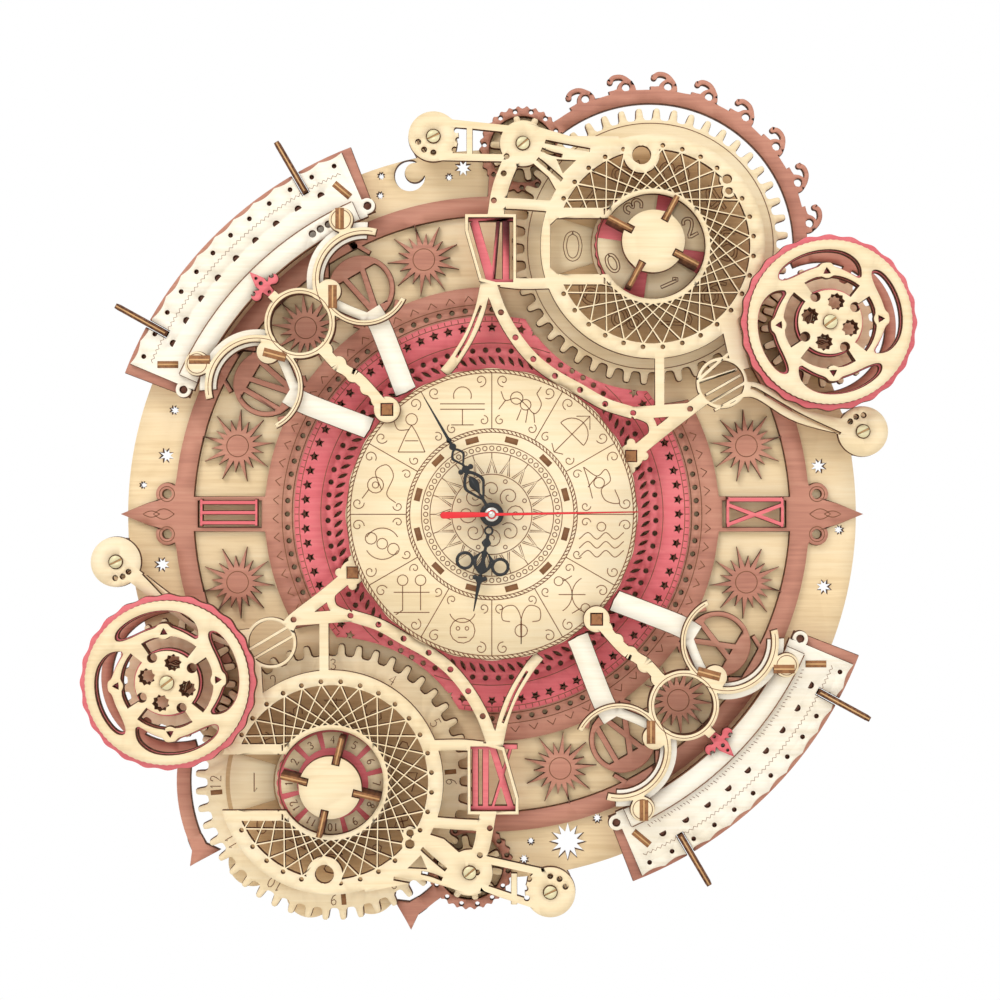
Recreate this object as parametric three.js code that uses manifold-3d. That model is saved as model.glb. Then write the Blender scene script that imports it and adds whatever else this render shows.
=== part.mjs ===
// Wooden wall clock from a laser-cut plywood kit: an astronomical front made of stacked sheets,
// a quartz movement with three hands, and two calendar gear trains that are turned by handwheels.
//
// Everything is drawn on the face: u runs to the right, v up and h off the wall, all in
// millimetres. One turn of the whole group about u at the end stands the face upright, so that
// the part's frame has +X to the right, +Z up and -Y out of the wall. The origin is on the wall,
// behind the middle of the dial.
import * as THREE from 'three';
import { mergeVertices } from 'three/addons/utils/BufferGeometryUtils.js';
import Module from 'manifold-3d';

const wasm = await Module();
wasm.setup();

// ---- Driving dimensions --------------------------------------------------------------------
const PLY = 3; // thickness of every plywood sheet
const GAP = 0.3; // clearance between pieces that slot, turn or pass through each other
const PIN_RADIUS = 3; // dowels that the gears turn on

const BOARD_RADIUS = 175;
const LOBE_EAR = 11; // ears of the board behind the bridge lobes and behind the small gears
const SMALL_GEAR_EAR = 17;
const WAVE_DISC = 57; // the board's disc behind the lower gear, with waves that show past its teeth
const WAVE_TURNS = [45, 78, 108.5];
const WAVE_RADIUS = 12;
const MOVEMENT_SIDE = 56;
const MOVEMENT_DEPTH = 16;
const WINDOW_MARGIN = 17; // room round the movement in the board, for fingers and the hook
const MOON_AT = [-39.5, 162.5];
const MOON_RADIUS = 7.2;
const SUN_CUT_AT = [36.4, -157.3];
const SUN_CUT_RADIUS = 9;

const RING_OUTER = [142.6, 152.2]; // inner and outer radius of the sun frame's outer ring
const RING_INNER = [88.8, 109]; // and of its inner ring
const SUNBURST_AT = 126; // radius on which the sunbursts are centred
const NUMERAL_CIRCLE_AT = 124.8; // radius on which the four numeral circles are centred
const NUMERAL_CIRCLE = [14.2, 16]; // inner and outer radius of a numeral circle
const NUMERAL_CIRCLE_TURNS = [120, 150, 300, 330];
const STAR_RING = [60, 94.5];

const DIAL_RADIUS = 69;
const POST_SIDE = 4.8; // square dial posts
const LUG_RADIUS = 6;

const MODULE = 2.65; // gear module: pitch diameter over teeth
const GEAR_TEETH = 48;
const SMALL_TEETH = 10;
const PINION_TEETH = 20;
const GEAR_AT = 148.44; // distance from the dial's axis to a big gear's axis
const NUMBER_DIAL_RADIUS = 27;
const KNOB_RADIUS = 15;
const FIN_REACH = [11.5, 24]; // where a knob fin starts and ends, from its axis
const FIN_PROUD = 0.6; // how far the fins stand above the knob's cap
const WHEEL_REAR_RADIUS = 40.6;
const WHEEL_FRONT_RADIUS = 38.3;
const SCREW_HEAD_RADIUS = 3.6;

const LATTICE_RADIUS = 53; // openwork disc of a bridge
const LATTICE_HOLE = 25;
const LOBE_RADIUS = 12;
const HUB_RADIUS = 11; // of a bridge round the small gear's pin
const MOON_CIRCLE = [10.2, 12.2]; // inner and outer radius of a bridge's moon circle
const WINDOW_SIZE = [26, 27]; // the reading window of a bridge, over the gear's numbers
const SCREW_RADIUS = 2;
const HEAD_PROUD = 0.6; // how far the heads of dowels stand above a bridge
const COLLAR_RADIUS = 8; // washers that hold a gear off the board
const NUMERAL_BOX = [24.4, 33.4]; // width and height of the frames of VI and XII

const ARCH = [152, 183]; // inner and outer radius of the arch plates
const ARCH_BACKING = [153.5, 187];
const ARCH_COVER = [151.5, 159.5];
const ARCH_FIN = [162, 203]; // from where it stands on the board to its outer end
const ARCH_HALF = 24; // half the angle that an arch spans

const PLANET_RING = [13.6, 16.8];
const PLANET_AT = [-89.8, 89.4];

// ---- Levels: each is the underside of a sheet, as a height off the wall -------------------------
const AT_FRAME = PLY;
const AT_STARS = 2 * PLY;
const AT_GEARS = 2 * PLY;
const AT_NUMBER_DIAL = 3 * PLY + 1; // a thin washer lies between it and the gear
const AT_BACKING = 4 * PLY;
const AT_ARCH = 5 * PLY;
const AT_BRIDGE = 6 * PLY;
const AT_DIAL = 7 * PLY;
const AT_PLANETS = 8 * PLY;
const AT_WHEEL = 9 * PLY;

const CREAM = { color: 0xf7e6c4, roughness: 0.75 };
const TAN = { color: 0xf0d8a8, roughness: 0.75 };
const ROSEWOOD = { color: 0xbd7f70, roughness: 0.75 };
const CORAL = { color: 0xe9757a, roughness: 0.7 };
const BURNT = { color: 0x9a6238, roughness: 0.8 };
const BLACK_METAL = { color: 0x16191a, roughness: 0.45, metalness: 0.4 };
const RED_PAINT = { color: 0xe0202a, roughness: 0.35 };
const BRASS = { color: 0xd2bb78, roughness: 0.35, metalness: 0.8 };
const BLACK_PLASTIC = { color: 0x1c1d1f, roughness: 0.5 };
const GREY_PLASTIC = { color: 0x6d7073, roughness: 0.5 };
const BATTERY_WRAP = { color: 0x2f6f4a, roughness: 0.35 };

// ---- Plane outlines ---------------------------------------------------------------------------
const rad = (degrees) => (degrees * Math.PI) / 180;
const at = (radius, degrees, centre = [0, 0]) => [
  centre[0] + radius * Math.cos(rad(degrees)),
  centre[1] + radius * Math.sin(rad(degrees)),
];
const turned = ([u, v], degrees) => [
  u * Math.cos(rad(degrees)) - v * Math.sin(rad(degrees)),
  u * Math.sin(rad(degrees)) + v * Math.cos(rad(degrees)),
];

// Points of an arc about a centre, from one angle to another.
function arc(centre, radius, from, to, steps) {
  return Array.from({ length: steps + 1 }, (_, i) =>
    at(radius, from + ((to - from) * i) / steps, centre));
}

// Steps that keep a full circle's facets close to the true curve.
const roundSteps = (radius) => Math.max(8, Math.min(48, 4 * Math.round(0.95 * Math.sqrt(radius))));

// A closed circle, without the repeated last point.
const circle = (centre, radius, steps = roundSteps(radius)) =>
  arc(centre, radius, 0, 360, steps).slice(0, -1);

// A band between two radii from one angle to another.
function band(centre, [inner, outer], from, to) {
  const steps = Math.max(4, Math.ceil((Math.abs(to - from) / 360) * roundSteps(outer)));
  return [...arc(centre, outer, from, to, steps), ...arc(centre, inner, to, from, steps)];
}

// A box about a centre, turned by an angle.
function box(centre, width, height, degrees = 0) {
  const corners = [[-1, -1], [1, -1], [1, 1], [-1, 1]];
  return corners.map(([a, b]) => {
    const [u, v] = turned([(a * width) / 2, (b * height) / 2], degrees);
    return [centre[0] + u, centre[1] + v];
  });
}

// A strip of even width along a smooth line through the given points.
function strip(points, width, steps = 2 * (points.length - 1)) {
  const path = new THREE.SplineCurve(points.map(([u, v]) => new THREE.Vector2(u, v)));
  const sides = [[], []];
  for (let i = 0; i <= steps; i++) {
    const here = path.getPoint(i / steps);
    const along = path.getTangent(i / steps);
    sides[0].push([here.x - (along.y * width) / 2, here.y + (along.x * width) / 2]);
    sides[1].push([here.x + (along.y * width) / 2, here.y - (along.x * width) / 2]);
  }
  return [...sides[0], ...sides[1].reverse()];
}

// A straight stroke.
const STROKE = 2.2;
const line = (from, to, width = STROKE) => strip([from, to], width, 1);

// A star outline: points at the outer radius, and valleys at the inner one.
function star(centre, count, inner, outer, turn = 0) {
  return Array.from({ length: 2 * count }, (_, i) =>
    at(i % 2 ? inner : (Array.isArray(outer) ? outer[(i / 2) % outer.length] : outer),
      turn + (180 * i) / count, centre));
}

// A circle whose radius rises and falls: bumps of the given height.
function wavy(centre, radius, bumps, height, stepsPerBump = 2) {
  const count = bumps * stepsPerBump;
  return Array.from({ length: count }, (_, i) =>
    at(radius + height * Math.cos((2 * Math.PI * i) / stepsPerBump), (360 * i) / count, centre));
}

// ---- Solids -----------------------------------------------------------------------------------
// Drops points that lie on the straight line between their neighbours: a cap's triangles leave
// them out, and then the walls would not meet it.
function corners(outline) {
  const count = outline.length;
  return outline.filter(([u, v], i) => {
    const [pu, pv] = outline[(i + count - 1) % count];
    const [nu, nv] = outline[(i + 1) % count];
    return Math.abs((u - pu) * (nv - v) - (v - pv) * (nu - u)) > 1e-4;
  });
}

// A closed solid from an outline, between two heights.
function slab(outline, low, high) {
  const shape = new THREE.Shape(corners(outline).map(([u, v]) => new THREE.Vector2(u, v)));
  const geometry = new THREE.ExtrudeGeometry(shape, { depth: high - low, bevelEnabled: false });
  geometry.translate(0, 0, low);
  geometry.deleteAttribute('normal');
  geometry.deleteAttribute('uv');
  const merged = mergeVertices(geometry, 1e-4);
  return new wasm.Manifold(new wasm.Mesh({
    numProp: 3,
    vertProperties: merged.attributes.position.array,
    triVerts: new Uint32Array(merged.index.array),
  }));
}

// One plate from outlines that are joined and others that are cut away. The cutters reach past
// both faces.
function plate(joined, cut, low, high = low + PLY) {
  let solid = slab(joined[0], low, high);
  for (const outline of joined.slice(1)) solid = solid.add(slab(outline, low, high));
  for (const outline of cut) solid = solid.subtract(slab(outline, low - 1, high + 1));
  return solid;
}

const clock = new THREE.Group();

// asOriginal merges the faces that a join leaves in one plane.
function addNode(name, solid, finish) {
  const mesh = solid.asOriginal().getMesh();
  const geometry = new THREE.BufferGeometry();
  geometry.setAttribute('position', new THREE.BufferAttribute(mesh.vertProperties, 3));
  geometry.setIndex(new THREE.BufferAttribute(mesh.triVerts, 1));
  const node = new THREE.Mesh(geometry, new THREE.MeshStandardMaterial(finish));
  node.name = name;
  clock.add(node);
}

// ---- The two sides ------------------------------------------------------------------------------
// The lower left of the face is the upper right turned half round, apart from where its
// handwheel and far lobe stand.
const SIDES = [
  { name: 'upper', turn: 0, pinionTurn: -25.2, smallTurn: 142.5, farLobe: [174.6, 39],
    moonCircle: [108.3, 61.8], knobTurn: 62 },
  { name: 'lower', turn: 180, pinionTurn: -33.4, smallTurn: 147.9, farLobe: [176.9, 22.4],
    moonCircle: [104, 60.5], knobTurn: 77 },
];
const GEAR_CENTRE = at(GEAR_AT, 59.4);
const NEAR_LOBE = [-27.5, 177.8];
const BRIDGE_LUG = at(DIAL_RADIUS + 2, 22.7);
const PLANET_LUG = at(DIAL_RADIUS + 0.3, 135);
const NUMERAL_CENTRE = [-0.7, 124.4];
const pitch = (teeth) => (MODULE * teeth) / 2;

for (const side of SIDES) {
  side.pinion = at(pitch(GEAR_TEETH) + pitch(PINION_TEETH), side.pinionTurn, GEAR_CENTRE);
  side.small = at(pitch(GEAR_TEETH) + pitch(SMALL_TEETH), side.smallTurn, GEAR_CENTRE);
}

// Turns an outline that was drawn for the upper side onto its own side.
const place = (side, outline) => outline.map((point) => turned(point, side.turn));
const onBothSides = (draw) => SIDES.flatMap((side) =>
  draw(side).map((outline) => place(side, outline)));

const POSTS = [
  { name: 'dial_post_upper_right', at: BRIDGE_LUG, top: AT_BRIDGE + PLY },
  { name: 'dial_post_upper_left', at: PLANET_LUG, top: AT_PLANETS + PLY },
  { name: 'dial_post_lower_left', at: turned(BRIDGE_LUG, 180), top: AT_BRIDGE + PLY },
  { name: 'dial_post_lower_right', at: turned(PLANET_LUG, 180), top: AT_PLANETS + PLY },
];
const postHoles = POSTS.map((post) => box(post.at, POST_SIDE + 2 * GAP, POST_SIDE + 2 * GAP));

// ---- Base board -----------------------------------------------------------------------------------
const windowRadius = MOVEMENT_SIDE / 2 + WINDOW_MARGIN;
const waves = [circle(GEAR_CENTRE, WAVE_DISC), ...WAVE_TURNS.map((turn) =>
  circle(at(WAVE_DISC - 1.5, turn, GEAR_CENTRE), WAVE_RADIUS))];
addNode('base_board', plate(
  [circle([0, 0], BOARD_RADIUS), ...waves.map((outline) => place(SIDES[1], outline)),
    ...onBothSides((side) => [
      circle(NEAR_LOBE, LOBE_EAR),
      circle(side.farLobe, LOBE_EAR),
      circle(side.small, SMALL_GEAR_EAR),
    ])],
  [circle([0, 0], windowRadius),
    circle(MOON_AT, MOON_RADIUS),
    star(SUN_CUT_AT, 12, SUN_CUT_RADIUS / 2, SUN_CUT_RADIUS)],
  0), TAN);

// ---- Sun frame: two rings, sunbursts, numeral circles, finials and gear guards ------------------------
const RECESS_RADIUS = 75; // the rings stop short of the big gears
const GUARD = [68.6, RECESS_RADIUS + 0.6];
const SMALL_TIP = pitch(SMALL_TEETH) + MODULE;
const SMALL_GUARD = [SMALL_TIP - GAP, SMALL_TIP + 4.7];
const PINION_GUARD = [31, 36.5];
const SUNBURST_TURNS = [15, 105, 135, 165, 195, 285, 315, 345];

function sunburst(turn) {
  return star(at(SUNBURST_AT, turn), 8, 6.4, [17.4, 12.6], turn);
}

const numeralCircle = (turn, radius) => circle(at(NUMERAL_CIRCLE_AT, turn), radius);

// Two bars cross a numeral circle. The radial one reaches both rings and carries it.
function circleBars(turn) {
  const centre = at(NUMERAL_CIRCLE_AT, turn);
  return [
    box(centre, 36, 4.5, turn),
    box(centre, 2 * NUMERAL_CIRCLE[0] + 1, 3, turn + 24),
  ];
}

// The finial at each side: a pointed leaf between two curls, with a frame for III or IX.
function finial(turn) {
  const leaf = [[150, -12], [158, -9], [176, 0], [158, 9], [150, 12], [140, 0]];
  return [
    leaf.map((point) => turned(point, turn)),
    circle(turned([155.5, 9.4], turn), 5.4),
    circle(turned([155.5, -9.4], turn), 5.4),
    box(at(126, turn), 40, 15, turn),
  ];
}

const finialWindows = [0, 180].map((turn) => box(at(125.5, turn), 30, 10, turn));

// The upper guard runs all the way round its gear. The lower one is two arms with flared feet.
function guards(side) {
  const pinionOpen = side.pinionTurn + 180;
  const from = side.pinionTurn + 20;
  const to = side.smallTurn - 12;
  const arms = side.name === 'upper' ? [band(GEAR_CENTRE, GUARD, from, to)] : [
    band(GEAR_CENTRE, GUARD, from, 27),
    band(GEAR_CENTRE, GUARD, 121, to),
    circle(at(GUARD[1], 27, GEAR_CENTRE), 6),
    circle(at(GUARD[1], 121, GEAR_CENTRE), 6),
  ];
  return [
    ...arms,
    circle(side.small, SMALL_GUARD[1]),
    line([1, RING_OUTER[1] - 5], [side.small[0] - 8.5, side.small[1] - 5.6], 7),
    band(side.pinion, PINION_GUARD, pinionOpen + 40, pinionOpen + 320),
    box(side.pinion, 2 * PINION_GUARD[0] + 2, 5, side.pinionTurn + 90),
    circle(side.pinion, HUB_OF_GUARD),
  ];
}

// Wave hooks stand on the outer edge of the upper guard.
const HOOK_TURNS = [10, 25, 40, 55, 70, 85, 100, 115];
const HOOK_RADIUS = 5;
const hook = (turn) => circle(at(GUARD[1] + 1.5, turn, GEAR_CENTRE), HOOK_RADIUS);
const HUB_OF_GUARD = 9; // the hub that the pinion's stub turns in

{
  const rings = plate(
    [circle([0, 0], RING_OUTER[1])],
    [circle([0, 0], RING_OUTER[0])], AT_FRAME)
    .add(plate([circle([0, 0], RING_INNER[1])], [circle([0, 0], RING_INNER[0])], AT_FRAME))
    .add(plate(SUNBURST_TURNS.map(sunburst), [], AT_FRAME))
    .add(plate(NUMERAL_CIRCLE_TURNS.map((turn) => numeralCircle(turn, NUMERAL_CIRCLE[1])),
      NUMERAL_CIRCLE_TURNS.map((turn) => numeralCircle(turn, NUMERAL_CIRCLE[0])), AT_FRAME))
    .add(plate(NUMERAL_CIRCLE_TURNS.flatMap(circleBars), [], AT_FRAME))
    .add(plate([...finial(0), ...finial(180)], finialWindows, AT_FRAME));
  const recesses = plate(onBothSides(() => [circle(GEAR_CENTRE, RECESS_RADIUS)]), [],
    AT_FRAME - 1, AT_FRAME + PLY + 1);
  const guard = plate(
    [...onBothSides(guards), ...HOOK_TURNS.map(hook)],
    [...onBothSides((side) => [circle(side.pinion, PIN_RADIUS + GAP),
      circle(side.small, SMALL_GUARD[0])])], AT_FRAME);
  addNode('sun_ring_frame', rings.subtract(recesses).add(guard), ROSEWOOD);
}

// ---- Star ring ------------------------------------------------------------------------------------
addNode('star_ring', plate(
  [circle([0, 0], STAR_RING[1])],
  [circle([0, 0], STAR_RING[0]), ...postHoles,
    ...onBothSides(() => [circle(GEAR_CENTRE, RECESS_RADIUS)])],
  AT_STARS), CORAL);

// ---- Numerals ---------------------------------------------------------------------------------------
addNode('numeral_iii', plate([
  ...[-4.8, 0, 4.8].map((v) => line([-139, 0.7 + v], [-112, 0.7 + v])),
  line([-138.6, -5.6], [-138.6, 7]),
  line([-112.4, -5.6], [-112.4, 7]),
], [], AT_STARS), CORAL);

addNode('numeral_ix', plate([
  line([112, 6.9], [139, 6.9]),
  line([112, 4.6], [139, -5.2]),
  line([112, -5.2], [139, 4.6]),
  line([112.6, -6], [112.6, 8.2], 1.6),
  line([138.4, -6], [138.4, 8.2], 1.6),
], [], AT_STARS), CORAL);

addNode('numeral_vi', plate([
  line([-9.4, 138.4], [-0.6, 110.4]),
  line([2.6, 138.4], [0.2, 110.4]),
  line([6, 138.4], [6, 110.4], 2.8),
  line([-12.2, 139.6], [11, 139.6], 2.8),
  line([-3, 109.8], [11, 109.8], 2.8),
], [], AT_BRIDGE - PLY), CORAL);

addNode('numeral_xii', plate([
  line([-7.6, -110.4], [-7.6, -138.4], 2.8),
  line([-2.6, -110.4], [-2.6, -138.4], 2.8),
  line([-0.2, -110.4], [9.6, -138.4]),
  line([9.6, -110.4], [-0.2, -138.4]),
  line([-11, -109.8], [12.2, -109.8], 2.8),
  line([-11, -138.8], [12.2, -138.8], 2.8),
], [], AT_BRIDGE - PLY), CORAL);

// ---- Dial and its posts ---------------------------------------------------------------------------------
const TUBE_RADIUS = 3.9; // threaded tube of the movement
addNode('dial_plate', plate(
  [wavy([0, 0], DIAL_RADIUS - 0.3, 24, 0.3)],
  [circle([0, 0], TUBE_RADIUS + GAP), ...postHoles], AT_DIAL), CREAM);
for (const post of POSTS) {
  addNode(post.name, plate([box(post.at, POST_SIDE, POST_SIDE)], [], PLY, post.top), BURNT);
}

// ---- Quartz movement, its setting wheel and the hands ------------------------------------------------------
const HAND_THICKNESS = 1;
const HAND_STEP = 2; // from one hand to the next
const HOUR_AT = AT_PLANETS + 4;
const SPINDLE_RADIUS = 1.2;
const SPINDLE_TOP = HOUR_AT + 2 * HAND_STEP - GAP;
const WHEEL_RECESS = [14, -14]; // place of the setting wheel on the movement's back
const SETTING_RADIUS = 6;
const HANGER_AT = MOVEMENT_SIDE / 2 + 6;
const HANGER = [4.5, 8]; // inner and outer radius of the hanging loop
const BATTERY_LENGTH = 50;
const BATTERY_RADIUS = 7;
const BATTERY_U = -18.5; // its bay is open at the back
{
  const back = AT_DIAL - MOVEMENT_DEPTH;
  const half = MOVEMENT_SIDE / 2;
  const movement = plate([box([0, 0], MOVEMENT_SIDE, MOVEMENT_SIDE)], [], back, AT_DIAL)
    .add(plate([circle([0, 0], TUBE_RADIUS)], [], AT_DIAL - 1, AT_PLANETS + PLY))
    .add(plate([circle([0, 0], SPINDLE_RADIUS)], [], AT_PLANETS, SPINDLE_TOP))
    .add(plate([circle([0, HANGER_AT], HANGER[1]), box([0, half + 1], 2 * HANGER[1], 8)],
      [circle([0, HANGER_AT], HANGER[0])], back, back + 2))
    .subtract(plate([circle(WHEEL_RECESS, SETTING_RADIUS + 1)], [], back - 1, back + 3))
    .subtract(plate([box([BATTERY_U, 0], 2 * BATTERY_RADIUS + 1, BATTERY_LENGTH)], [], back - 1,
      back + 2 * BATTERY_RADIUS + 1));
  addNode('quartz_movement', movement, BLACK_PLASTIC);

  // The cell lies along v, held by its ends.
  const cell = slab(circle([0, 0], BATTERY_RADIUS, 24), -BATTERY_LENGTH / 2, BATTERY_LENGTH / 2)
    .rotate([90, 0, 0])
    .translate([BATTERY_U, 0, back + BATTERY_RADIUS + 0.5]);
  addNode('battery', cell, BATTERY_WRAP);
  addNode('setting_wheel', plate([wavy(WHEEL_RECESS, SETTING_RADIUS - 0.4, 12, 0.4)], [],
    back - 1.5, back + 3 - GAP), GREY_PLASTIC);
}

const HOUR_TURN = 259.4; // directions of the hands on the face
const MINUTE_TURN = 120;
const SECOND_TURN = 1;
const HOUR_LENGTH = 46;
const MINUTE_LENGTH = 63;
const SECOND_LENGTH = 68;
const SECOND_TAIL = 24;

// A hand: a round hub with a bore, and a spade-shaped blade.
function hand(name, degrees, length, width, low, finish, tail = 0) {
  const along = (distance, aside) => turned([distance, aside], degrees);
  const blade = [
    along(0, width / 3), along(length * 0.5, width / 2), along(length * 0.62, width),
    along(length, 0.35), along(length, -0.35),
    along(length * 0.62, -width), along(length * 0.5, -width / 2), along(0, -width / 3),
  ];
  const joined = [circle([0, 0], 5), blade];
  if (tail) joined.push([along(0, -1.2), along(0, 1.2), along(-tail, 2), along(-tail, -2)]);
  const bore = circle([0, 0], SPINDLE_RADIUS + GAP);
  addNode(name, plate(joined, [bore], low, low + HAND_THICKNESS), finish);
}
hand('hour_hand', HOUR_TURN, HOUR_LENGTH, 7, HOUR_AT, BLACK_METAL);
hand('minute_hand', MINUTE_TURN, MINUTE_LENGTH, 6, HOUR_AT + HAND_STEP, BLACK_METAL);
{
  const along = (distance, aside) => turned([distance, aside], SECOND_TURN);
  addNode('second_hand', plate([
    circle([0, 0], 3.6),
    [along(0, -0.8), along(SECOND_LENGTH, -0.4), along(SECOND_LENGTH, 0.4), along(0, 0.8)],
    [along(0, 0.8), along(-SECOND_TAIL, 2), along(-SECOND_TAIL, -2), along(0, -0.8)],
  ], [], HOUR_AT + 2 * HAND_STEP, HOUR_AT + 2 * HAND_STEP + HAND_THICKNESS), RED_PAINT);
}

// ---- Gear trains ------------------------------------------------------------------------------------------
// Teeth as trapezoids: wide at the root, narrow at the tip, thinner than half a pitch between.
function gearOutline(centre, teeth, phase) {
  const radii = [pitch(teeth) - 1.22 * MODULE, pitch(teeth) + 0.95 * MODULE];
  const shares = [0.31, 0.125];
  const points = [];
  for (let tooth = 0; tooth < teeth; tooth++) {
    for (const [level, share] of [[0, -1], [1, -1], [1, 1], [0, 1]]) {
      const turn = phase + ((tooth + share * shares[level]) * 360) / teeth;
      points.push(at(radii[level], turn, centre));
    }
  }
  return points;
}

// The phase that puts a gap of the follower where its neighbour has a tooth.
function meshPhase(followerTeeth, leaderTeeth, leaderPhase, direction) {
  return direction + 180 - (180 - leaderTeeth * (direction - leaderPhase)) / followerTeeth;
}

// The windows of a handwheel: four long outer ones and four short inner ones.
function wheelWindows(centre, turn, shrink) {
  return [0, 90, 180, 270].flatMap((quarter) => [
    band(centre, [25 + shrink, 33 - shrink], turn + quarter + 14, turn + quarter + 80),
    band(centre, [14.5 + shrink, 21 - shrink], turn + quarter + 14, turn + quarter + 80),
  ]);
}

for (const side of SIDES) {
  const here = (point) => turned(point, side.turn);
  const gear = here(GEAR_CENTRE);
  const pinion = here(side.pinion);
  const small = here(side.small);
  const toPinion = side.turn + side.pinionTurn;
  const toSmall = side.turn + side.smallTurn;
  const calendar = side.name === 'upper' ? 'date' : 'month';
  const gearTop = AT_GEARS + PLY;

  addNode(`${calendar}_gear`, plate([gearOutline(gear, GEAR_TEETH, toPinion)],
    [circle(gear, PIN_RADIUS + GAP)], AT_GEARS), CREAM);
  addNode(`small_gear_${side.name}`, plate(
    [gearOutline(small, SMALL_TEETH, meshPhase(SMALL_TEETH, GEAR_TEETH, toPinion, toSmall))],
    [circle(small, PIN_RADIUS + GAP)], AT_GEARS), CREAM);

  // The pinion turns on its own stub in the guard's hub and carries the handwheel on a column.
  const screwBore = plate([circle(pinion, SCREW_RADIUS + GAP)], [], AT_WHEEL - 10, AT_WHEEL + 1);
  addNode(`pinion_${side.name}`, plate(
    [gearOutline(pinion, PINION_TEETH, meshPhase(PINION_TEETH, GEAR_TEETH, toPinion, toPinion))],
    [], AT_GEARS)
    .add(plate([circle(pinion, PIN_RADIUS)], [], AT_FRAME + GAP, AT_GEARS + 1))
    .add(plate([circle(pinion, COLLAR_RADIUS)], [], gearTop - 1, AT_WHEEL))
    .subtract(screwBore), CREAM);

  const wheelTurn = side.turn + 12;
  addNode(`handwheel_rear_${side.name}`, plate([wavy(pinion, WHEEL_REAR_RADIUS, 20, 0.6)],
    [...wheelWindows(pinion, wheelTurn, 1), circle(pinion, SCREW_RADIUS + GAP)], AT_WHEEL), CORAL);
  addNode(`handwheel_front_${side.name}`, plate([circle(pinion, WHEEL_FRONT_RADIUS)],
    [...wheelWindows(pinion, wheelTurn, 0), circle(pinion, SCREW_RADIUS + GAP)], AT_WHEEL + PLY), CREAM);
  const wheelTop = AT_WHEEL + 2 * PLY;
  addNode(`handwheel_screw_${side.name}`, plate([circle(pinion, SCREW_RADIUS)], [], AT_WHEEL - 9, wheelTop + 1)
    .add(plate([circle(pinion, SCREW_HEAD_RADIUS)], [], wheelTop, wheelTop + 1.6)), BRASS);

  // Pins: a collar on the board, then the dowel. The short one ends as a slotted head.
  addNode(`gear_arbor_${side.name}`, plate([circle(gear, COLLAR_RADIUS)], [], AT_FRAME, AT_GEARS - GAP)
    .add(plate([circle(gear, PIN_RADIUS)], [], AT_FRAME, AT_PLANETS - GAP)), CREAM);
  addNode(`small_gear_pin_${side.name}`, plate([circle(small, COLLAR_RADIUS - 1)], [], AT_FRAME, AT_GEARS - GAP)
    .add(plate([circle(small, PIN_RADIUS)], [], AT_FRAME, AT_BRIDGE + PLY + HEAD_PROUD)), BRASS);

  // The number dial turns on the gear's arbor, and its knob stands on four fins above it.
  const dialName = side.name === 'upper' ? 'tens_dial' : 'month_dial';
  addNode(dialName, plate([circle(gear, NUMBER_DIAL_RADIUS)], [circle(gear, PIN_RADIUS + GAP)],
    AT_NUMBER_DIAL), CORAL);
  const finTop = AT_PLANETS + PLY + FIN_PROUD;
  let knob = plate([circle(gear, KNOB_RADIUS)], [], AT_PLANETS, AT_PLANETS + PLY);
  const finMiddle = (FIN_REACH[0] + FIN_REACH[1]) / 2;
  for (const quarter of [0, 90, 180, 270]) {
    const turn = side.turn + side.knobTurn + quarter;
    knob = knob.add(plate([box(at(finMiddle, turn, gear), FIN_REACH[1] - FIN_REACH[0], PLY, turn)],
      [], AT_NUMBER_DIAL + PLY, finTop));
  }
  addNode(`${dialName}_knob`, knob, CREAM);
}

// ---- Bridges ------------------------------------------------------------------------------------------------
// An openwork disc over the big gear, arms to two lobes, the frame of VI or XII and a lug at the dial.
const NUMERAL_RAIL = 3.2;
const EYELET_RADIUS = 4.3;
const [BOX_WIDTH, BOX_HEIGHT] = NUMERAL_BOX;
const [NUMERAL_U, NUMERAL_V] = NUMERAL_CENTRE;
const BOX_RIGHT = NUMERAL_U + BOX_WIDTH / 2;
const BOX_BOTTOM = NUMERAL_V - BOX_HEIGHT / 2;
const BOX_TOP = NUMERAL_V + BOX_HEIGHT / 2;

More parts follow.
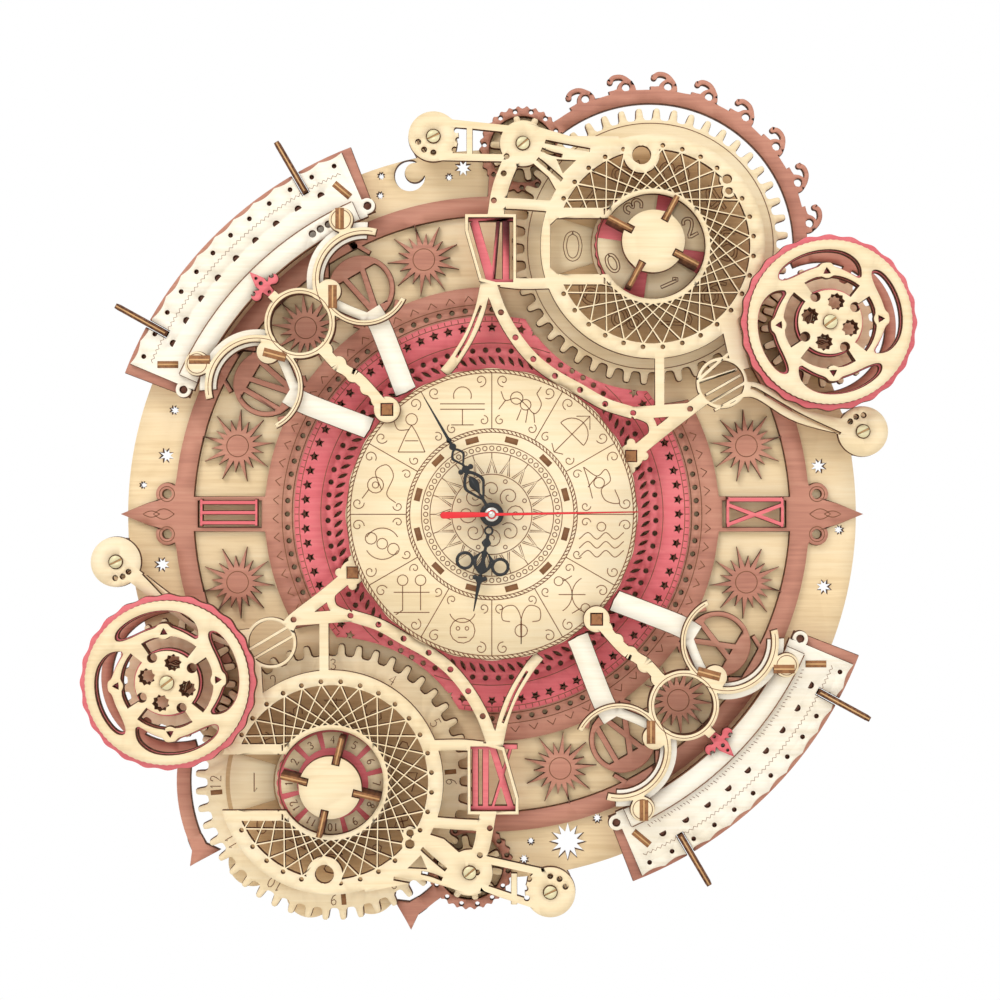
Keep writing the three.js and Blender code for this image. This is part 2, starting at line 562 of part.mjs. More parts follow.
function bridgeOutlines(side) {
  const [gu, gv] = GEAR_CENTRE;
  const [su, sv] = side.small;
  const [nu, nv] = NEAR_LOBE;
  const [fu, fv] = side.farLobe;
  const [mu, mv] = side.moonCircle;
  // Both windows open towards the left of the upright face: over the upper gear that is inside
  // its lattice disc, and over the lower gear it breaks the disc's rim.
  const upper = side.name === 'upper';
  const readingWindow = upper ? box([gu - 36, gv], ...WINDOW_SIZE)
    : box([gu + 40, gv], WINDOW_SIZE[0] + 8, WINDOW_SIZE[1]);
  const eyelet = upper ? [gu - 5.2, gv + 41.5] : [gu + 1.4, gv + 39.4];
  const chain = [[BOX_RIGHT - 12, BOX_BOTTOM], [4.3, 95], [19.5, 73], [41.5, 58.5], [66.5, 47.7]];
  return {
    joined: [
      circle(GEAR_CENTRE, LATTICE_RADIUS),
      circle(NEAR_LOBE, LOBE_RADIUS),
      circle(side.small, HUB_RADIUS),
      circle(side.farLobe, LOBE_RADIUS),
      circle(BRIDGE_LUG, LUG_RADIUS),
      circle(side.moonCircle, MOON_CIRCLE[1]),
      box(NUMERAL_CENTRE, BOX_WIDTH, BOX_HEIGHT),
      // rails from the small gear's hub to the near lobe
      line([nu + 6, nv + 6.5], [su - 4, sv + 6.5], 3.4),
      line([nu + 4, nv - 9.5], [su - 4, sv - 7], 3.4),
      // ribs from the hub to the disc
      line([su, sv + 4], [gu - 10, gv + LATTICE_RADIUS - 3], 4),
      line([su, sv - 2], [gu - 30, gv + 42], 4),
      line([su, sv - 7], [gu - 42, gv + 30], 4),
      // from the hub down to the numeral frame, and the frame's ties to the disc
      strip([[su - 2, sv], [4.5, 155], [1.5, BOX_TOP - 2]], 8),
      line([0, BOX_TOP + 5], [gu - 42, gv + 22], 6),
      line([4, BOX_BOTTOM + 1], [gu - 45, gv - 20], 6),
      strip([[gu - 48, gv + 30], [gu - 52.5, gv], [gu - 48, gv - 30]], 6),
      // the two legs under the frame
      strip([[-2.8, BOX_BOTTOM + 1], [-5.6, 96.2], [-10.3, 84.4], at(DIAL_RADIUS + 2, 108)], 5),
      strip(chain, 6, 12),
      strip([[66.5, 47.7], [74.5, 43.9], [75.4, 36.9], BRIDGE_LUG], 4),
      // from the lug past the moon circle to the far lobe
      strip([BRIDGE_LUG, [79.2, 38.7], [93.3, 49.6], [mu - 8, mv - 8]], 6),
      strip([[mu + 8, mv - 4], [126.3, 57], [145.1, 46], [fu, fv]], 7),
      line([gu + 36, gv - 36], [mu + 9, mv + 6], 8),
      // spoke from the disc down to the lower leg
      line([79, gv - LATTICE_RADIUS + 2], [79, 50], 4.6),
      line([66.5, 47.7], [93.3, 49.6], 6),
    ],
    cut: [
      circle(GEAR_CENTRE, LATTICE_HOLE),
      readingWindow,
      circle(side.small, PIN_RADIUS + GAP),
      circle(side.moonCircle, MOON_CIRCLE[0]),
      box(NUMERAL_CENTRE, BOX_WIDTH - 2 * NUMERAL_RAIL, BOX_HEIGHT - 2 * NUMERAL_RAIL),
      box(BRIDGE_LUG, POST_SIDE + 2 * GAP, POST_SIDE + 2 * GAP),
      circle(NEAR_LOBE, PIN_RADIUS + GAP),
      circle(side.farLobe, PIN_RADIUS + GAP),
      circle(eyelet, EYELET_RADIUS),
    ],
  };
}

for (const side of SIDES) {
  const { joined, cut } = bridgeOutlines(side);
  // strokes cross the moon circle after its window is cut
  const strokes = [-3.5, 0, 3.5].map((aside) => {
    const turn = side.name === 'upper' ? 26 : 30;
    return box(at(aside, turn + 90, side.moonCircle), 22, 1.8, turn);
  });
  const bridge = plate(joined.map((outline) => place(side, outline)),
    cut.map((outline) => place(side, outline)), AT_BRIDGE)
    .add(plate(strokes.map((outline) => place(side, outline)), [], AT_BRIDGE));
  addNode(`bridge_${side.name}`, bridge, CREAM);

  // Each lobe stands on a stack of washers round a dowel with a slotted head.
  for (const [which, lobe] of [['near', NEAR_LOBE], ['far', side.farLobe]]) {
    const foot = turned(lobe, side.turn);
    addNode(`bridge_post_${side.name}_${which}`,
      plate([circle(foot, COLLAR_RADIUS)], [], PLY, AT_BRIDGE)
        .add(plate([circle(foot, PIN_RADIUS)], [], PLY, AT_BRIDGE + PLY + HEAD_PROUD)), BURNT);
  }
}

// ---- Arch panels ----------------------------------------------------------------------------------------------
const ARCH_SIDES = [
  { name: 'left', middle: 135, fins: [120.1, 151] },
  { name: 'right', middle: 315, fins: [300.4, 331.5] },
];

for (const arch of ARCH_SIDES) {
  const from = arch.middle - ARCH_HALF;
  const to = arch.middle + ARCH_HALF;
  const slots = arch.fins.map((turn) => box(at(190, turn), 30, PLY + 2 * GAP, turn));
  addNode(`arch_backing_${arch.name}`, plate([band([0, 0], ARCH_BACKING, from, to)], slots,
    AT_BACKING), ROSEWOOD);
  addNode(`arch_plate_${arch.name}`, plate([band([0, 0], ARCH, from + 1.5, to - 1.5),
    circle(at(157, from + 1), 3.6), circle(at(157, to - 1), 3.6)], slots, AT_ARCH), CREAM);
  addNode(`arch_cover_${arch.name}`, plate([band([0, 0], ARCH_COVER, from + 3, to - 3)], [],
    AT_BRIDGE), CREAM);

  // A fin is an upright sheet: it stands on the board and carries the arch on its shoulder.
  arch.fins.forEach((turn, index) => {
    const radial = (near, far, low, high) => plate(
      [box(at((near + far) / 2, turn), far - near, PLY, turn)], [], low, high);
    const foot = radial(ARCH_FIN[0], BOARD_RADIUS, PLY, AT_BACKING);
    const beam = radial(BOARD_RADIUS - 1, ARCH_FIN[1] - 6, PLY + 5, AT_BACKING);
    const blade = radial(175 + GAP, ARCH_FIN[1], AT_BACKING - 2, AT_BRIDGE + 2);
    addNode(`arch_fin_${arch.name}_${index + 1}`, foot.add(beam).add(blade), BURNT);
  });

  // A pointer lies on the cover: a diamond with a ball on each side.
  const centre = at(152, arch.middle);
  const tip = (distance, aside) => {
    const [u, v] = turned([distance, aside], arch.middle);
    return [centre[0] + u, centre[1] + v];
  };
  addNode(`pointer_${arch.name}`, plate([
    [tip(9, 0), tip(0, 2.4), tip(-8, 1.6), tip(-8, -1.6), tip(0, -2.4)],
    circle(tip(-1.5, 5.6), 2.6), circle(tip(-1.5, -5.6), 2.6),
    box(tip(-1.5, 0), 2, 11, arch.middle),
  ], [], AT_DIAL), CORAL);
}

// ---- Planet frames ----------------------------------------------------------------------------------------------
// Drawn for the upper left, mirrored about its diagonal, and turned half round for the lower right.
const mirror = ([u, v]) => [-v, -u];
const ARC_CENTRE = [-59.7, 109.9];
const END_DISC = [-70.5, 137.8];
const bothWays = (outline) => [outline, outline.map(mirror).reverse()];

const planetArms = [
  ...bothWays(band(ARC_CENTRE, [20.8, 24.6], 75, 215)),
  ...bothWays(band(ARC_CENTRE, [19, 21.8], 210, 335)),
  ...bothWays(circle(END_DISC, 5.8)),
  ...bothWays(line(END_DISC, at(22.6, 112, ARC_CENTRE), 6)),
  ...bothWays(circle([-76, 104.4], 5.6)),
  circle(PLANET_LUG, LUG_RADIUS),
  strip([[-81, 79.4], [-72, 69.5], [-62, 63.5], PLANET_LUG], 5.4),
  box(at(152, 135), 5, 8, 135),
  line(at(141, 135), at(154, 135), 5),
];
const underArms = [
  ...bothWays(band(ARC_CENTRE, [19.2, 27.4], 95, 215)),
  ...bothWays(strip([[-57, 96], [-52.4, 88.3], at(DIAL_RADIUS + 0.7, 125.2)], 13, 4)),
  ...bothWays(strip([[-80, 103], [-70, 97], [-52.4, 90]], 5)),
];

['left', 'right'].forEach((name, index) => {
  const turn = 180 * index;
  const onSide = (outlines) => outlines.map((outline) => outline.map((point) => turned(point, turn)));
  const post = onSide([box(PLANET_LUG, POST_SIDE + 2 * GAP, POST_SIDE + 2 * GAP)]);
  const hole = onSide([circle(PLANET_AT, PLANET_RING[0])]);
  addNode(`planet_frame_${name}`, plate(onSide([circle(PLANET_AT, PLANET_RING[1]), ...planetArms]),
    [...hole, ...post], AT_PLANETS), CREAM);
  addNode(`planet_underframe_${name}`, plate(onSide([circle(PLANET_AT, PLANET_RING[1]), ...underArms]),
    [...hole, circle([0, 0], DIAL_RADIUS + 2 * GAP)], AT_DIAL), CREAM);
});

clock.rotation.x = Math.PI / 2;

export default clock;
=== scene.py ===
# %% [markdown]
# # A wooden wall clock kit, ready to hang
#
# The clock is a stack of laser-cut plywood sheets. Everything is drawn on its face: u to the
# right, v up, and h off the wall, in millimetres. One function turns that into the frame of the
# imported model, where -Y points out of the wall. So a sheet is an outline and two heights, and
# nearly every piece here is made by one plate function.

import math

import bpy
import numpy as np
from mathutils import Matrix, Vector
from mathutils.geometry import delaunay_2d_cdt


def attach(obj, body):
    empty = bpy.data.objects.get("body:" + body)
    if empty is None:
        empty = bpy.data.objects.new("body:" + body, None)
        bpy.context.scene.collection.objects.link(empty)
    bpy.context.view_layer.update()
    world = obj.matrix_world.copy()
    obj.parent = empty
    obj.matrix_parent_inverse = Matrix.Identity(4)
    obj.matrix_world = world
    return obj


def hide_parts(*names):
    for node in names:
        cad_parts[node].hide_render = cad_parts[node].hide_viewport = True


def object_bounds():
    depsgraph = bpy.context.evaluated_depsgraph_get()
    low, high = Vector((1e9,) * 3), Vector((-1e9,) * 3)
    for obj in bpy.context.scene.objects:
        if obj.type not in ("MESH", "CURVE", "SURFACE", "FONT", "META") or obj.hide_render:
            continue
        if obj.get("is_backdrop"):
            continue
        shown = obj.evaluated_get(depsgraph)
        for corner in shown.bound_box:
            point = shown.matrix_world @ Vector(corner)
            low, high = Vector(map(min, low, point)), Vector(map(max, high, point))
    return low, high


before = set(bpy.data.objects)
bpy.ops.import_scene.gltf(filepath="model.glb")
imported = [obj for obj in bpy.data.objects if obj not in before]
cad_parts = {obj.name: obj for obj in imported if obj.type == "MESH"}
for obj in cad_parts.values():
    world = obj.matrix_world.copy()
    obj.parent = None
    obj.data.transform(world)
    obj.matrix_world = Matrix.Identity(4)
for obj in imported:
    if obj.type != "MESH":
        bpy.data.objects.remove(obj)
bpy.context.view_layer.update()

# %% [markdown]
# ## Sizes
#
# All sheets are one 3 mm stock, and the heights below are the undersides of the layers. The
# two sides of the clock are the same drawing turned half round, apart from the few numbers in
# SIDES, which say where each handwheel, far lobe and knob stands.

# %% Sizes and levels
PLY = 3.0
GAP = 0.3
KERF = 0.34
ON_BOARD = PLY
STARS_AT = GEARS_AT = 2 * PLY
NUMBERS_AT = 3 * PLY + 1
BACKING_AT, ARCH_AT, BRIDGE_AT, DIAL_AT, PLANETS_AT, WHEEL_AT = (k * PLY for k in (4, 5, 6, 7, 8, 9))
HOUR_AT, HAND_STEP, HAND_THICK = PLANETS_AT + 4, 2.0, 1.0
MODULE = 2.65
TEETH, SMALL_TEETH, PINION_TEETH = 48, 10, 20
NEAR_LOBE, BRIDGE_LUG, PLANET_LUG = (-27.5, 177.8), (65.5, 27.4), (-49.0, 49.0)
LOBE, HUB, MOON = 12.0, 11.0, (10.4, 12.2)
PIN_HOLE, SCREW_HOLE, LUG_HOLE, SCREW_HEAD = 3.3, 2.3, 5.4, 3.3
BOARD, BOARD_WINDOW, DIAL = 175.0, 45.0, 68.6
OUTER_RING, INNER_RING, STAR_RING = (142.6, 152.2), (88.8, 109.0), (60.0, 94.5)
BURST_AT, NUMERAL_CIRCLE_AT, FINIAL_CURL_AT = 126.0, 124.8, (155.5, 9.6)
RECESS, GUARD, PINION_GUARD = 75.0, (68.6, 75.6), (31.0, 36.5)
QUARTERS = (0, 90, 180, 270)
HALF_TURNS = (0, 180)
SIDES = {
    "upper": dict(turn=0, pinion=-25.2, small=142.5, far=(174.6, 39.0), moon=(108.3, 61.8),
                  knob=62, gear="date_gear", dial="tens_dial"),
    "lower": dict(turn=180, pinion=-33.4, small=147.9, far=(176.9, 22.4), moon=(104.0, 60.5),
                  knob=77, gear="month_gear", dial="month_dial"),
}


def at(radius, degrees, centre=(0.0, 0.0)):
    """centre + radius (cos a, sin a). The radius, the angle or both may be arrays."""
    a = np.radians(degrees)
    return np.stack([centre[0] + radius * np.cos(a), centre[1] + radius * np.sin(a)], -1)


def turned(points, degrees):
    """Points turned about the dial's axis: (u cos a - v sin a, u sin a + v cos a)."""
    c, s = math.cos(math.radians(degrees)), math.sin(math.radians(degrees))
    return np.asarray(points, float) @ np.array([[c, s], [-s, c]])


GEAR = at(148.44, 59.4)
pitch = lambda teeth: MODULE * teeth / 2
for side in SIDES.values():
    side["pinion_at"] = at(pitch(TEETH) + pitch(PINION_TEETH), side["pinion"], GEAR)
    side["small_at"] = at(pitch(TEETH) + pitch(SMALL_TEETH), side["small"], GEAR)
print("upper gear at", GEAR.round(1), "pinion at", SIDES["upper"]["pinion_at"].round(1))

# %% [markdown]
# ## Outlines
#
# Every outline is an array of points.


# %% Outlines
def circle(centre, radius, steps=None):
    """Closed circle, with steps that grow with the root of its radius."""
    steps = steps or int(np.clip(15 * math.sqrt(radius), 12, 200))
    return at(radius, np.arange(steps) * 360 / steps, centre)


def band(centre, inner, outer, start, end):
    """Part of a ring between two angles: the outer arc, then the inner arc back."""
    steps = max(4, int(abs(end - start) / 360 * 15 * math.sqrt(outer)))
    turns = np.linspace(start, end, steps + 1)
    return np.concatenate([at(outer, turns, centre), at(inner, turns[::-1], centre)])


def box(centre, width, height, degrees=0.0):
    """Rectangle about a centre, turned by an angle."""
    corners = np.array([[-1, -1], [1, -1], [1, 1], [-1, 1]]) * [width / 2, height / 2]
    return turned(corners, degrees) + centre


def curve(points, fine=6):
    """Catmull-Rom line through points: the usual cubic of four neighbours, t from 0 to 1."""
    p = np.asarray(points, float)
    p = np.concatenate([[2 * p[0] - p[1]], p, [2 * p[-1] - p[-2]]])
    t = np.linspace(0, 1, fine, endpoint=False)[:, None]
    a, b, c, d = (p[k:len(p) - 3 + k, None] for k in range(4))
    line = 0.5 * (2 * b + (c - a) * t + (2 * a - 5 * b + 4 * c - d) * t**2
                  + (3 * b - a - 3 * c + d) * t**3)
    return np.concatenate([line.reshape(-1, 2), p[-2:-1]])


def offsets(path):
    """Unit normals of a line at its points, from the directions on both sides of each."""
    along = np.gradient(path, axis=0)
    along /= np.maximum(np.linalg.norm(along, axis=1, keepdims=True), 1e-9)
    return np.stack([-along[:, 1], along[:, 0]], -1)


def strip(points, width, fine=6):
    """Band of even width along a line: both offset sides. fine=1 keeps the line straight."""
    path = curve(points, fine) if fine > 1 else np.asarray(points, float)
    side = offsets(path) * (width / 2 if np.isscalar(width) else np.asarray(width)[:, None] / 2)
    return np.concatenate([path - side, (path + side)[::-1]])


def bar(start, end, width=2.2):
    """Straight stroke."""
    return strip([start, end], width, 1)


def star(centre, count, inner, outer, turn=0.0):
    """Star with points at the outer radii in turn, and valleys at the inner radius."""
    reach = np.full(2 * count, float(inner))
    reach[::2] = np.resize(outer, count)
    return at(reach, turn + 180 * np.arange(2 * count) / count, centre)


def wavy(centre, radius, bumps, height, fine=8):
    """Circle whose radius is radius + height cos(bumps a)."""
    turns = np.arange(bumps * fine) * 360 / (bumps * fine)
    return at(radius + height * np.cos(np.radians(turns * bumps)), turns, centre)


def leaf(centre, length, width, degrees, fine=7):
    """Pointed leaf: half widths of width/2 sin(pi t) along its length."""
    t = np.linspace(0, 1, fine)
    half = width / 2 * np.sin(np.pi * t)
    shape = np.concatenate([np.stack([t * length, half], -1),
                            np.stack([t * length, -half], -1)[-2:0:-1]])
    return turned(shape - [length / 2, 0], degrees) + centre


def local(points, centre, degrees):
    """Points drawn with x to the right and y outwards, set down at a centre facing an angle."""
    return turned(points, degrees - 90) + np.asarray(centre)


def mirrored(points):
    """Mirror about the diagonal through the planet circle: (u, v) to (-v, -u)."""
    return (-np.asarray(points, float)[:, ::-1])[::-1]


wood = lambda *outlines: [(True, o) for o in outlines]
cut = lambda *outlines: [(False, o) for o in outlines]
place = lambda layers, degrees: [(keep, turned(o, degrees)) for keep, o in layers]
both_ways = lambda outline: [np.asarray(outline, float), mirrored(outline)]
print("a 10 mm circle has", len(circle((0, 0), 10)), "points")

# %% [markdown]
# ## Finishes
#
# Birch plywood with fine fibres, some of it stained, and a laser-burnt edge whose three plies
# show as bands across the sheet. Fibres come from a noise that is stretched along u. The
# engraving is scorched wood. Each finish is its own node tree on object coordinates.


# %% Finishes
def linear(hex_colour):
    """sRGB hex to linear RGBA: ((c + 0.055) / 1.055)^2.4, or c / 12.92 near black."""
    c = np.array([int(hex_colour[k:k + 2], 16) for k in (1, 3, 5)]) / 255
    low = c <= 0.04045
    return tuple(np.where(low, c / 12.92, ((c + 0.055) / 1.055) ** 2.4)) + (1.0,)


def add(tree, kind, sockets=(), **settings):
    """Adds one node with its settings. A socket value that is itself a socket becomes a link."""
    made = tree.nodes.new(kind)
    for key, value in settings.items():
        setattr(made, key, value)
    for key, value in dict(sockets).items():
        if isinstance(value, bpy.types.NodeSocket):
            tree.links.new(value, made.inputs[key])
        else:
            made.inputs[key].default_value = value
    return made


def ramp(tree, factor, stops):
    """Colour ramp through (place, hex) stops."""
    made = add(tree, "ShaderNodeValToRGB", {"Fac": factor})
    elements = made.color_ramp.elements
    while len(elements) < len(stops):
        elements.new(0.5)
    for element, (where, colour) in zip(elements, stops):
        element.position = where
        element.color = linear(colour)
    return made.outputs["Color"]


def new_finish(name):
    """Empty material with a Principled shader and an output. Returns both tree and shader."""
    made = bpy.data.materials.new(name)
    made.use_nodes = True
    made.node_tree.nodes.clear()
    shader = add(made.node_tree, "ShaderNodeBsdfPrincipled")
    add(made.node_tree, "ShaderNodeOutputMaterial", {"Surface": shader.outputs[0]})
    return made, made.node_tree, shader


def stretched(tree, scale, seed=0.0):
    """Object coordinates times a scale, moved by a seed so that two finishes differ."""
    coords = add(tree, "ShaderNodeTexCoord")
    return add(tree, "ShaderNodeMapping", {"Vector": coords.outputs["Object"], "Scale": scale,
                                           "Location": (seed, seed, seed)}).outputs[0]


def plywood(name, dark, mid, light, seed):
    """Sanded veneer: fibres along u, slow clouds of tone, and a faint relief."""
    made, tree, shader = new_finish(name)
    fibre = add(tree, "ShaderNodeTexNoise", {"Vector": stretched(tree, (28, 400, 620), seed),
                                             "Scale": 1.0, "Detail": 5.0, "Roughness": 0.6})
    cloud = add(tree, "ShaderNodeTexNoise", {"Vector": stretched(tree, (9, 30, 26), seed),
                                             "Scale": 1.0, "Detail": 3.0})
    mixed = add(tree, "ShaderNodeMath", {0: fibre.outputs["Fac"], 1: cloud.outputs["Fac"]})
    halved = add(tree, "ShaderNodeMath", {0: mixed.outputs[0], 1: 0.5}, operation="MULTIPLY")
    colour = ramp(tree, halved.outputs[0], [(0.3, dark), (0.5, mid), (0.72, light)])
    tree.links.new(colour, shader.inputs["Base Color"])
    shader.inputs["Roughness"].default_value = 0.62
    bump = add(tree, "ShaderNodeBump", {"Height": fibre.outputs["Fac"], "Strength": 0.12,
                                        "Distance": 0.0002})
    tree.links.new(bump.outputs[0], shader.inputs["Normal"])
    return made


def burnt(name, dark, light):
    """Laser-cut edge: three plies across each sheet as a sine of h, under streaky soot."""
    made, tree, shader = new_finish(name)
    split = add(tree, "ShaderNodeSeparateXYZ", {"Vector": stretched(tree, (1, 1, 1))})
    plies = add(tree, "ShaderNodeMath", {0: split.outputs["Y"], 1: 2 * math.pi * 1000 / PLY},
                operation="MULTIPLY")
    wave = add(tree, "ShaderNodeMath", {0: plies.outputs[0]}, operation="COSINE")
    soot = add(tree, "ShaderNodeTexNoise", {"Vector": stretched(tree, (600, 60, 600)),
                                            "Scale": 1.0, "Detail": 3.0})
    mixed = add(tree, "ShaderNodeMath", {0: wave.outputs[0], 1: 0.22, 2: soot.outputs["Fac"]},
                operation="MULTIPLY_ADD")
    colour = ramp(tree, mixed.outputs[0], [(0.25, dark), (0.75, light)])
    tree.links.new(colour, shader.inputs["Base Color"])
    shader.inputs["Roughness"].default_value = 0.8
    return made


def coated(name, colour, rough, metal=0.0, coat=0.0, mottle=0.06):
    """Even coat of paint, plastic or metal, with a little unevenness in its roughness."""
    made, tree, shader = new_finish(name)
    shader.inputs["Base Color"].default_value = linear(colour)
    shader.inputs["Metallic"].default_value = metal
    shader.inputs["Coat Weight"].default_value = coat
    noise = add(tree, "ShaderNodeTexNoise", {"Vector": stretched(tree, (90, 90, 90)), "Scale": 1.0})
    uneven = add(tree, "ShaderNodeMath", {0: noise.outputs["Fac"], 1: mottle, 2: rough - mottle / 2},
                 operation="MULTIPLY_ADD")
    tree.links.new(uneven.outputs[0], shader.inputs["Roughness"])
    return made


# name: (face finish, slot of the record)
FINISHES = {
    "tan": (plywood("birch_veneer_warm", "#DEBE8D", "#F1D6A9", "#F8E4C0", 0.0), "tan_board"),
    "cream": (plywood("birch_veneer_cream", "#E6CB9B", "#F4DEB5", "#F9E9C9", 3.1), "cream_ply"),
    "pale": (plywood("birch_veneer_pale", "#F0E3C8", "#FBF2DF", "#FFFAEE", 4.4), "cream_ply"),
    # painted shade: a darker copy of the cream veneer, for the shade that falls under the bridges'
    # nets on the number rings
    "painted_shade_veneer": (plywood("birch_veneer_painted_shade", "#BA9466", "#D0AC7C", "#DEC094", 6.6), "cream_ply"),
    "rose": (plywood("veneer_stained_rose", "#AA6E5B", "#C3856E", "#D29A80", 5.7), "rose_ply"),
    "coral": (plywood("veneer_stained_coral", "#D55C63", "#E57076", "#EE8685", 8.3), "coral_ply"),
    "stripe": (plywood("tenon_end_core", "#C08E5A", "#D3A36B", "#E2B67E", 7.2), "burnt_edge"),
    "burnt": (burnt("tenon_end_burnt", "#4A2410", "#A06C42"), "burnt_edge"),
    "scorched": (plywood("veneer_scorched", "#6E4526", "#86582F", "#9C6B3E", 2.2), "cream_ply"),
    "soot": (plywood("engraving_scorched", "#6B4024", "#7E5030", "#93633E", 1.3), "cream_ply"),
    "black": (coated("steel_black_lacquer", "#121516", 0.38, 0.2, 0.3), "black_metal"),
    "red": (coated("steel_red_lacquer", "#E4141F", 0.35, 0.0, 0.4), "red_metal"),
    "brass": (coated("dowel_head_brassy", "#E3D8AC", 0.42, 0.25), "pin_head"),
    "steel": (coated("hub_cap_nickel", "#D9D7CF", 0.25, 0.9), "pin_head"),
    "plastic": (coated("case_black_abs", "#191A1C", 0.5), "black_plastic"),
    "grey": (coated("wheel_grey_abs", "#6D7073", 0.5), "grey_plastic"),
    "film": (coated("cell_green_film", "#2F6F4A", 0.3, 0.1, 0.6), "battery_wrap"),
    "foil": (coated("cell_gold_film", "#C9A24B", 0.3, 0.5, 0.4), "battery_wrap"),
}
EDGE = burnt("cut_edge_burnt", "#45220E", "#7E4E2A")
print(len(FINISHES), "face finishes and one burnt edge")

# %% [markdown]
# ## The plate function
#
# A sheet is given as layers: outlines that add wood or cut it away, in painter's order. A
# constrained triangulation finds every region at once, and a triangle is wood if the last
# outline that covers it is wood. The front face is drawn in by the width of the laser's kerf,
# because the beam burns a cone: this leaves the thin brown line that runs round every edge.


# %% Plates
def make_mesh(name, verts, faces, materials, indices):
    """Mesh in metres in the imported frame, from (u, v, h) in mm: (u, -h, v) / 1000."""
    mesh = bpy.data.meshes.new(name)
    places = np.stack([verts[:, 0], -verts[:, 2], verts[:, 1]], -1) / 1000
    sizes = np.concatenate([np.full(len(f), f.shape[1], np.int32) for f in faces])
    starts = np.concatenate([[0], np.cumsum(sizes)[:-1]]).astype(np.int32)
    loops = np.concatenate([f.ravel() for f in faces]).astype(np.int32)
    mesh.vertices.add(len(places))
    mesh.vertices.foreach_set("co", places.astype(np.float32).ravel())
    mesh.loops.add(len(loops))
    mesh.loops.foreach_set("vertex_index", loops)
    mesh.polygons.add(len(sizes))
    mesh.polygons.foreach_set("loop_start", starts)
    mesh.polygons.foreach_set("material_index", np.asarray(indices, np.int32))
    for material in materials:
        mesh.materials.append(material)
    mesh.update(calc_edges=True)
    mesh.validate()
    made = bpy.data.objects.new(name, mesh)
    bpy.context.scene.collection.objects.link(made)
    return made


def settle(made, body, nodes):
    """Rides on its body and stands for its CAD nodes."""
    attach(made, body)
    if nodes:
        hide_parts(*nodes)
    return made


def drawn_in(points, edges, depth):
    """Points on the boundary moved inwards by the kerf, along the mitre of both edges' normals:
    p + depth (n1 + n2) 2 / |n1 + n2|^2, and by less where an edge is shorter than the kerf."""
    step = points[edges[:, 1]] - points[edges[:, 0]]
    length = np.linalg.norm(step, axis=1)
    room = np.full(len(points), 1e9)
    np.minimum.at(room, edges[:, 0], length)
    np.minimum.at(room, edges[:, 1], length)
    step /= np.maximum(length, 1e-9)[:, None]
    inwards = np.stack([-step[:, 1], step[:, 0]], -1)
    total = np.zeros_like(points)
    np.add.at(total, edges[:, 0], inwards)
    np.add.at(total, edges[:, 1], inwards)
    length2 = np.maximum((total**2).sum(1, keepdims=True), 1.4)
    return points + np.minimum(depth, 0.45 * room)[:, None] * 2 * total / length2


def twice_area(outline):
    """Shoelace sum of u1 v2 - v1 u2, positive for an outline that runs against the clock."""
    after = np.roll(outline, -1, axis=0)
    return np.sum(outline[:, 0] * after[:, 1] - outline[:, 1] * after[:, 0])


def plate(node, layers, low, high=None, finish="cream", body="face", nodes=None, part="sheet",
          kerf=KERF):
    """Sheet from painter's layers between two heights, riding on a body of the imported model."""
    high = low + PLY if high is None else high
    outlines = [np.asarray(o, float) for _, o in layers]
    outlines = [o if twice_area(o) > 0 else o[::-1] for o in outlines]
    starts = np.cumsum([0] + [len(o) for o in outlines])
    rings = [list(range(a, b)) for a, b in zip(starts[:-1], starts[1:])]
    flat = [Vector(p) for p in np.concatenate(outlines)]
    points, _, tris, _, _, owners = delaunay_2d_cdt(flat, [], rings, 1, 1e-4, True)
    points = np.array(points)
    is_wood = np.array([bool(o) and layers[max(o)][0] for o in owners])
    tris = np.array(tris)[is_wood]
    a, b, c = points[tris[:, 0]], points[tris[:, 1]], points[tris[:, 2]]
    twice = (b[:, 0] - a[:, 0]) * (c[:, 1] - a[:, 1]) - (b[:, 1] - a[:, 1]) * (c[:, 0] - a[:, 0])
    tris = np.where(twice[:, None] > 0, tris, tris[:, ::-1])
    edges = np.concatenate([tris[:, [0, 1]], tris[:, [1, 2]], tris[:, [2, 0]]])
    count = len(points)
    keys = edges[:, 0] * count + edges[:, 1]
    rim = edges[~np.isin(keys, edges[:, 1] * count + edges[:, 0])]
    front = drawn_in(points, rim, kerf)
    verts = np.concatenate([np.c_[points, np.full(count, low)], np.c_[front, np.full(count, high)]])
    walls = np.stack([rim[:, 0], rim[:, 1], rim[:, 1] + count, rim[:, 0] + count], -1)
    faces = [tris + count, tris[:, ::-1], walls]
    index = np.repeat([0, 0, 1], [len(tris), len(tris), len(walls)])
    made = make_mesh(f"{node}_{part}", verts, faces, [FINISHES[finish][0], EDGE], index)
    return settle(made, body, [node] if nodes is None else nodes)


def detail(node, part, layers, low, high, finish, body="face", kerf=0.05):
    """Extra part of a node's piece, such as a washer or a pad, that stands for no node itself."""
    return plate(node, layers, low, high, finish, body, [], part, kerf)


def tenon_ends(node, spots, wide, top, proud, short):
    """Ends of tenons in a face: burnt blocks, each with a paler middle ply, shorter by a bit."""
    ends = [box(spot, long, wide, turn) for spot, long, turn in spots]
    plies = [box(spot, long - short, 0.8, turn) for spot, long, turn in spots]
    detail(node, "tenons", wood(*ends), top - 0.5, top + proud, "burnt", kerf=0.1)
    detail(node, "tenon_cores", wood(*plies), top, top + proud + 0.06, "stripe")


print("plates are", PLY, "mm thick, with a kerf of", KERF, "mm")

# %% [markdown]
# ## Engraving and lettering
#
# An engraved line is a thin flat bar just proud of its face, in scorched wood. Roman numerals
# are cut as strokes, and digits are engraved as lines or as the outline of a thick stroke.


# %% Engraving and lettering
def gear_distance(line):
    """Distance of each point of a line to the nearer big gear's axis."""
    return np.min([np.hypot(*(line - turned(GEAR, t)).T) for t in HALF_TURNS], axis=0)


